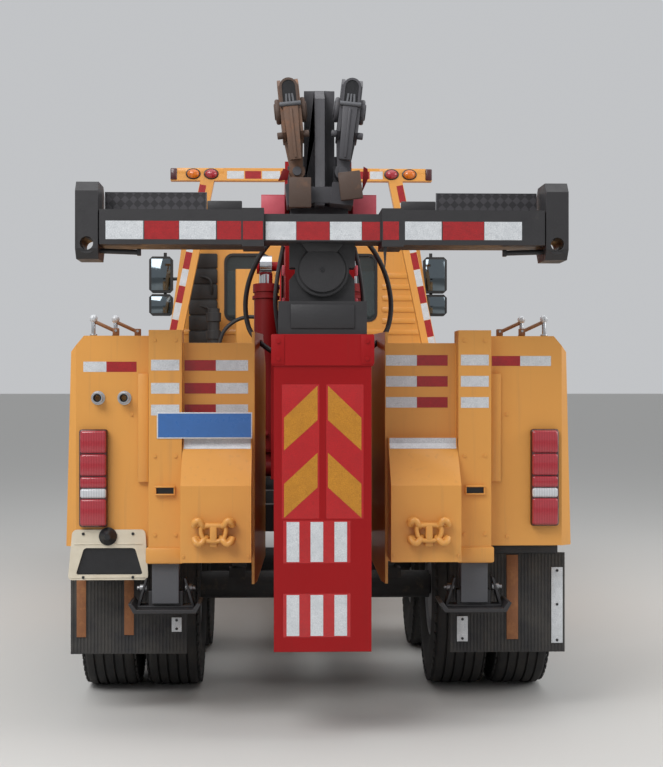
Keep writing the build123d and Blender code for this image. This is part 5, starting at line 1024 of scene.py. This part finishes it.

# hydraulic pipes and hoses along the mast and the boom, with small fittings whose pink is painted highlight
mastPipes = {
    "loop": ((0.175, -3.86, 2.43), (0.262, -3.80, 2.36), (0.352, -3.74, 2.20), (0.380, -3.72, 2.02),
             (0.330, -3.76, 1.86), (0.178, -3.90, 1.78)),
    "rise": ((0.178, -3.93, 1.78), (0.215, -3.92, 1.96), (0.222, -3.90, 2.14), (0.180, -3.80, 2.34)),
    "boom": ((0.176, 0.4, -0.10), (0.178, 1.0, -0.12), (0.178, 4.2, -0.12), (0.182, 4.7, -0.05)),
}
makePiece("mastHoses", hoseRubber, "boom", "boom_paint", tubes=[
    (mastPipes["loop"], 0.013, 12), (mastPipes["rise"], 0.011, 12),
    ([onBoom(*point) for point in mastPipes["boom"]], 0.008, 10)])
makePiece("hoseFittingHighlights", highlightPink, "boom", "boom_paint", blocks=[
    (0.171, 0.205, -4.02, -3.90, 1.752, 1.80, 0.006),
    *[(0.1705, 0.186, -4.062, -4.02, z, z + 0.05, 0.004) for z in (1.86, 2.02, 2.18)]])
# collars with a seal ring at the top of each barrel, in the barrels' own plane
lift = {
    "base": (0.285, -1.05, 1.10), "eye": (0.285, -0.95, 2.45), "topRing": (1.130, 1.150, 0.092),
    "footRing": (0.115, 0.135, 0.088), "bore": 0.081,
}
base, bore = Vector(lift["base"]), lift["bore"]
run = (Vector(lift["eye"]) - base).normalized()
port = base + run * 0.22 + Vector((0, -0.075, 0))
rings = []
for low, high, radius in (lift["topRing"], lift["footRing"]):
    rings.append(([(low, bore), (low, radius), (high, radius), (high, bore)], base, base + run))
makePiece("barrelRings", darkRedEnamel, "lift_barrels", "boom_paint", turned=rings,
          rods=[(port, port + Vector((0, -0.05, 0.01)), 0.018, 0.003, 12)])
print("ropes and hoses made")

# the frame behind the cab: red and white tape down the outer half of its posts and along its beam
gantryTape = {
    "foot": (1.18, 1.904), "top": (0.87, 3.41), "face": 2.12, "wide": 0.056, "margin": 0.004,
    "step": 0.148, "gap": 0.003, "count": 10, "start": 0.03, "beamZ": (3.428, 3.494),
    "beam": ((-0.640, -0.494), (-0.485, -0.348), (-0.339, -0.184), (-0.175, -0.03), (-0.02, 0.13),
             (0.14, 0.285), (0.295, 0.44), (0.445, 0.585), (0.590, 0.700)),
}
(footX, footZ), (topX, topZ) = gantryTape["foot"], gantryTape["top"]
postLean = math.atan2(footX - topX, topZ - footZ)
strips = [bmesh.new(), bmesh.new()]  # white and red by turns
for sign in sides.values():
    place = Matrix.Translation((sign * footX, 0, footZ)) @ Matrix.Rotation(-sign * postLean, 4, "Y")
    ends = (-sign * (gantryTape["wide"] + gantryTape["margin"]), -sign * gantryTape["margin"])
    for number in range(gantryTape["count"]):
        low = gantryTape["start"] + number * gantryTape["step"]
        high = low + gantryTape["step"] - gantryTape["gap"]
        addTape(strips[number % 2], ends, (low, high), gantryTape["face"], place)
for number, ends in enumerate(gantryTape["beam"]):
    addTape(strips[number % 2], ends, gantryTape["beamZ"], gantryTape["face"])
finishPiece("gantryTapeWhite", strips[0], whiteTape, angle=0)
finishPiece("gantryTapeRed", strips[1], redTape, angle=0)
bolts = [(x, y, 1.905) for x in (1.018, 1.168) for y in (2.10, 2.17, 2.24)]
makePiece("gantryFootBolts", bareSteel, angle=0, hexes=[(bolts, (0, 0, 1), 0.012, 0.010)])
makePiece("deckHoses", hoseRubber, slot="trim_plastic", signs=once, tubes=[
    (((-0.72, 1.98, 1.89), (-0.70, 1.98, 2.06), (-0.62, 1.98, 2.17), (-0.50, 1.98, 2.235),
      (-0.36, 2.00, 2.235), (-0.24, 2.04, 2.15), (-0.24, 2.10, 1.90)), 0.017, 12),
    (((0.52, 1.98, 1.89), (0.50, 1.98, 2.05), (0.42, 1.98, 2.15), (0.28, 2.02, 2.10), (0.24, 2.08, 1.88)),
     0.017, 12),
    (((-0.36, 2.34, 2.50), (-0.10, 2.38, 2.55), (0.10, 2.36, 2.30), (0.14, 2.32, 1.90), (0.12, 2.30, 1.30)),
     0.022, 12)])

# the cab: pressed ribs and window seals at the back, handles, wipers, marker lamps and mirror glass
cabTrim = {
    "back": 2.50, "ribHigh": 0.045, "window": ((0.28, 0.66), (2.23, 2.80)), "seal": 0.016,
    # x from, x to and the low edge of each rib
    "ribs": ((-1.06, 1.06, (1.62, 1.74, 1.86, 1.98, 2.10)), (-0.235, 0.235, (2.26, 2.38, 2.50, 2.62)),
             (0.72, 1.01, (2.20, 2.30, 2.40, 2.50, 2.60))),
    "ductX": (-0.985, -0.735), "ductZ": (2.00, 2.82), "ductSteps": 6, "ductLoops": (2.24, 2.50),
    "wipers": (-0.55, 0.35), "roofMarkers": (-0.80, -0.40, 0.0, 0.40, 0.80),
    "mirrors": ((2.588, 2.897), (2.363, 2.527)),
}
back, ribHigh = cabTrim["back"], cabTrim["ribHigh"]
makePiece("cabBackRibs", yellowEnamel, "cab", signs=once, blocks=[
    (x0, x1, back - 0.009, back + 0.001, z, z + ribHigh, 0.004)
    for x0, x1, lows in cabTrim["ribs"] for z in lows])
# a black ribbed duct cover on the left of the back wall, with two small hose loops
(x0, x1), (z0, z1) = cabTrim["ductX"], cabTrim["ductZ"]
rise = (z1 - z0) / cabTrim["ductSteps"]
blocks = [(x0 + 0.012, x1 - 0.012, back - 0.035, back + 0.001, z0 + 0.01, z1 - 0.02, 0)]
for number in range(cabTrim["ductSteps"]):
    low, high = z0 + number * rise, z0 + (number + 1) * rise - 0.008
    blocks.append((x0, x1, back - 0.045, back + 0.001, low, high, 0.010))
makePiece("ductCover", trimPlastic, "cab", "trim_plastic", once, blocks=blocks, tubes=[
    (((x0 + 0.10, back - 0.04, z + 0.11), (x0 + 0.19, back - 0.075, z + 0.10), (x0 + 0.21, back - 0.075, z),
      (x0 + 0.20, back - 0.04, z - 0.05)), 0.010, 10) for z in cabTrim["ductLoops"]])
(x0, x1), (z0, z1) = cabTrim["window"]
bm = bmesh.new()
for sign in sides.values():
    outlines = []
    for out in (cabTrim["seal"], -0.006):
        left, right = sorted((sign * (x0 - out), sign * (x1 + out)))
        outlines.append([(left, z0 - out), (right, z0 - out), (right, z1 + out), (left, z1 + out)])
    one = bmesh.new()
    addFrame(one, *outlines, back - 0.007, 0.022, 0.075, 0.058)
    bm.from_mesh(finishMesh("sealPart", one, 0))
finishPiece("rearWindowSeals", bm, hoseRubber, "cab", "trim_plastic")
bpy.data.meshes.remove(bpy.data.meshes["sealPart"])
rods, blades = [], []
for x in cabTrim["wipers"]:
    # a wiper lies along the foot of the windscreen
    rods += [((x, 4.588, 1.975), (x + 0.05, 4.583, 2.03), 0.012, 0.002),
             ((x + 0.05, 4.583, 2.03), (x + 0.52, 4.566, 2.085), 0.007, 0)]
    blades.append((x + 0.12, x + 0.66, 4.560, 4.570, 2.062, 2.074, 0.002))
makePiece("wipers", blackFitting, "cab", "trim_plastic", once, rods=rods, blocks=blades)
makePiece("roofMarkers", amberLens, "cab", "lamp_lens", once, blocks=[
    (x - 0.045, x + 0.045, 4.255, 4.315, 2.958, 2.986, 0.010, 3) for x in cabTrim["roofMarkers"]])
for side, sign in sides.items():
    makePiece("doorHandle_" + side, blackFitting, "door_" + side, "trim_plastic", (sign,),
              blocks=[(1.176, 1.186, 3.335, 3.480, 1.800, 1.875, 0.004),
                      (1.184, 1.200, 3.345, 3.470, 1.846, 1.864, 0.005)],
              rods=[((1.180, 3.50, 1.84), (1.188, 3.50, 1.84), 0.012, 0.002)])
    makePiece("mirrorGlass_" + side, mirrorGlass, "door_" + side, "window_glass", (sign,), blocks=[
        (1.257, 1.443, 4.1795, 4.1815, low, high, 0.0006) for low, high in cabTrim["mirrors"]])
print("cab trimmed")

# locker latches and side markers
sideFittings = {
    "latchX": 1.2335, "latches": {"rear": 0.195, "front": 0.505}, "markers": (-3.30, -0.95, 1.70),
    "markerZ": 1.30, "wallX": 1.25, "wallFoot": 0.6, "wallLean": 0.02724,
}
out, z = sideFittings["latchX"], sideFittings["markerZ"]
for side, sign in sides.items():
    for name, y in sideFittings["latches"].items():
        makePiece("lockerLatch_" + name + "_" + side, silverFitting, "locker_" + name + "_" + side,
                  "fitting_metal", (sign,),
                  blocks=[(out - 0.003, out + 0.005, y - 0.055, y + 0.055, 1.150, 1.240, 0.003),
                          (out + 0.003, out + 0.014, y - 0.038, y + 0.038, 1.165, 1.205, 0.005)],
                  rods=[((out, y, 1.223), (out + 0.011, y, 1.223), 0.009, 0.002)])
out = sideFittings["wallX"] - sideFittings["wallLean"] * (z - sideFittings["wallFoot"])
makePiece("sideMarkers", amberLens, slot="lamp_lens", blocks=[
    (out - 0.002, out + 0.014, y - 0.05, y + 0.05, z - 0.018, z + 0.018, 0.006, 3)
    for y in sideFittings["markers"]])
print("side fittings made")

# the floor, the light and the camera; a lamp is (place, target, size, power)
stageLook = {
    "floorSize": 900.0, "floorColour": "#BFBEBB", "worldColour": "#E9EBEE", "worldStrength": 0.66,
    "lamps": {"keyLamp": ((-5.0, -10.0, 8.5), (0, -3.0, 1.2), (7.0, 5.0), 740.0),
              "roofLamp": ((0.0, -1.0, 10.0), (0, 0, 0), (12.0, 12.0), 544.0),
              "sideLamp": ((9.0, -5.0, 5.0), (0, -1.5, 1.5), (6.0, 6.0), 340.0)},
    "cameraPlace": (-0.21, -12.22, 1.63), "cameraYaw": 1.87, "cameraPitch": 0.15,
    "cameraLens": 78.24,
}


def addToStage(name, data):
    holder = bpy.data.objects.new(name, data)
    bpy.context.scene.collection.objects.link(holder)
    return holder


bm = bmesh.new()
bmesh.ops.create_grid(bm, x_segments=1, y_segments=1, size=stageLook["floorSize"] / 2)
floor = addToStage("studioFloor", finishMesh("studioFloor", bm, 0))
concrete = startMaterial("paleConcrete", Roughness=0.85, Base_Color=hexColour(stageLook["floorColour"]))[0]
floor.data.materials.append(concrete)

world = bpy.data.worlds.new("paleRoom")
bpy.context.scene.world = world
world.use_nodes = True
sky = world.node_tree.nodes["Background"]
sky.inputs["Color"].default_value = hexColour(stageLook["worldColour"])
sky.inputs["Strength"].default_value = stageLook["worldStrength"]

for name, (place, target, size, power) in stageLook["lamps"].items():
    light = bpy.data.lights.new(name, "AREA")
    light.shape = "RECTANGLE"
    light.size, light.size_y = size
    light.energy = power
    lamp = addToStage(name, light)
    lamp.location = place
    lamp.rotation_euler = (Vector(target) - Vector(place)).to_track_quat("-Z", "Y").to_euler()

lens = bpy.data.cameras.new("photoCamera")
lens.lens = stageLook["cameraLens"]
lens.sensor_width = 36.0
lens.sensor_fit = "AUTO"
lens.clip_end = 1500.0
camera = addToStage("photoCamera", lens)
camera.location = stageLook["cameraPlace"]
pitch, yaw = stageLook["cameraPitch"], stageLook["cameraYaw"]
camera.rotation_euler = (math.radians(90 + pitch), 0, math.radians(-yaw))
bpy.context.scene.camera = camera
bpy.context.scene.view_settings.view_transform = "Standard"
print("stage set")
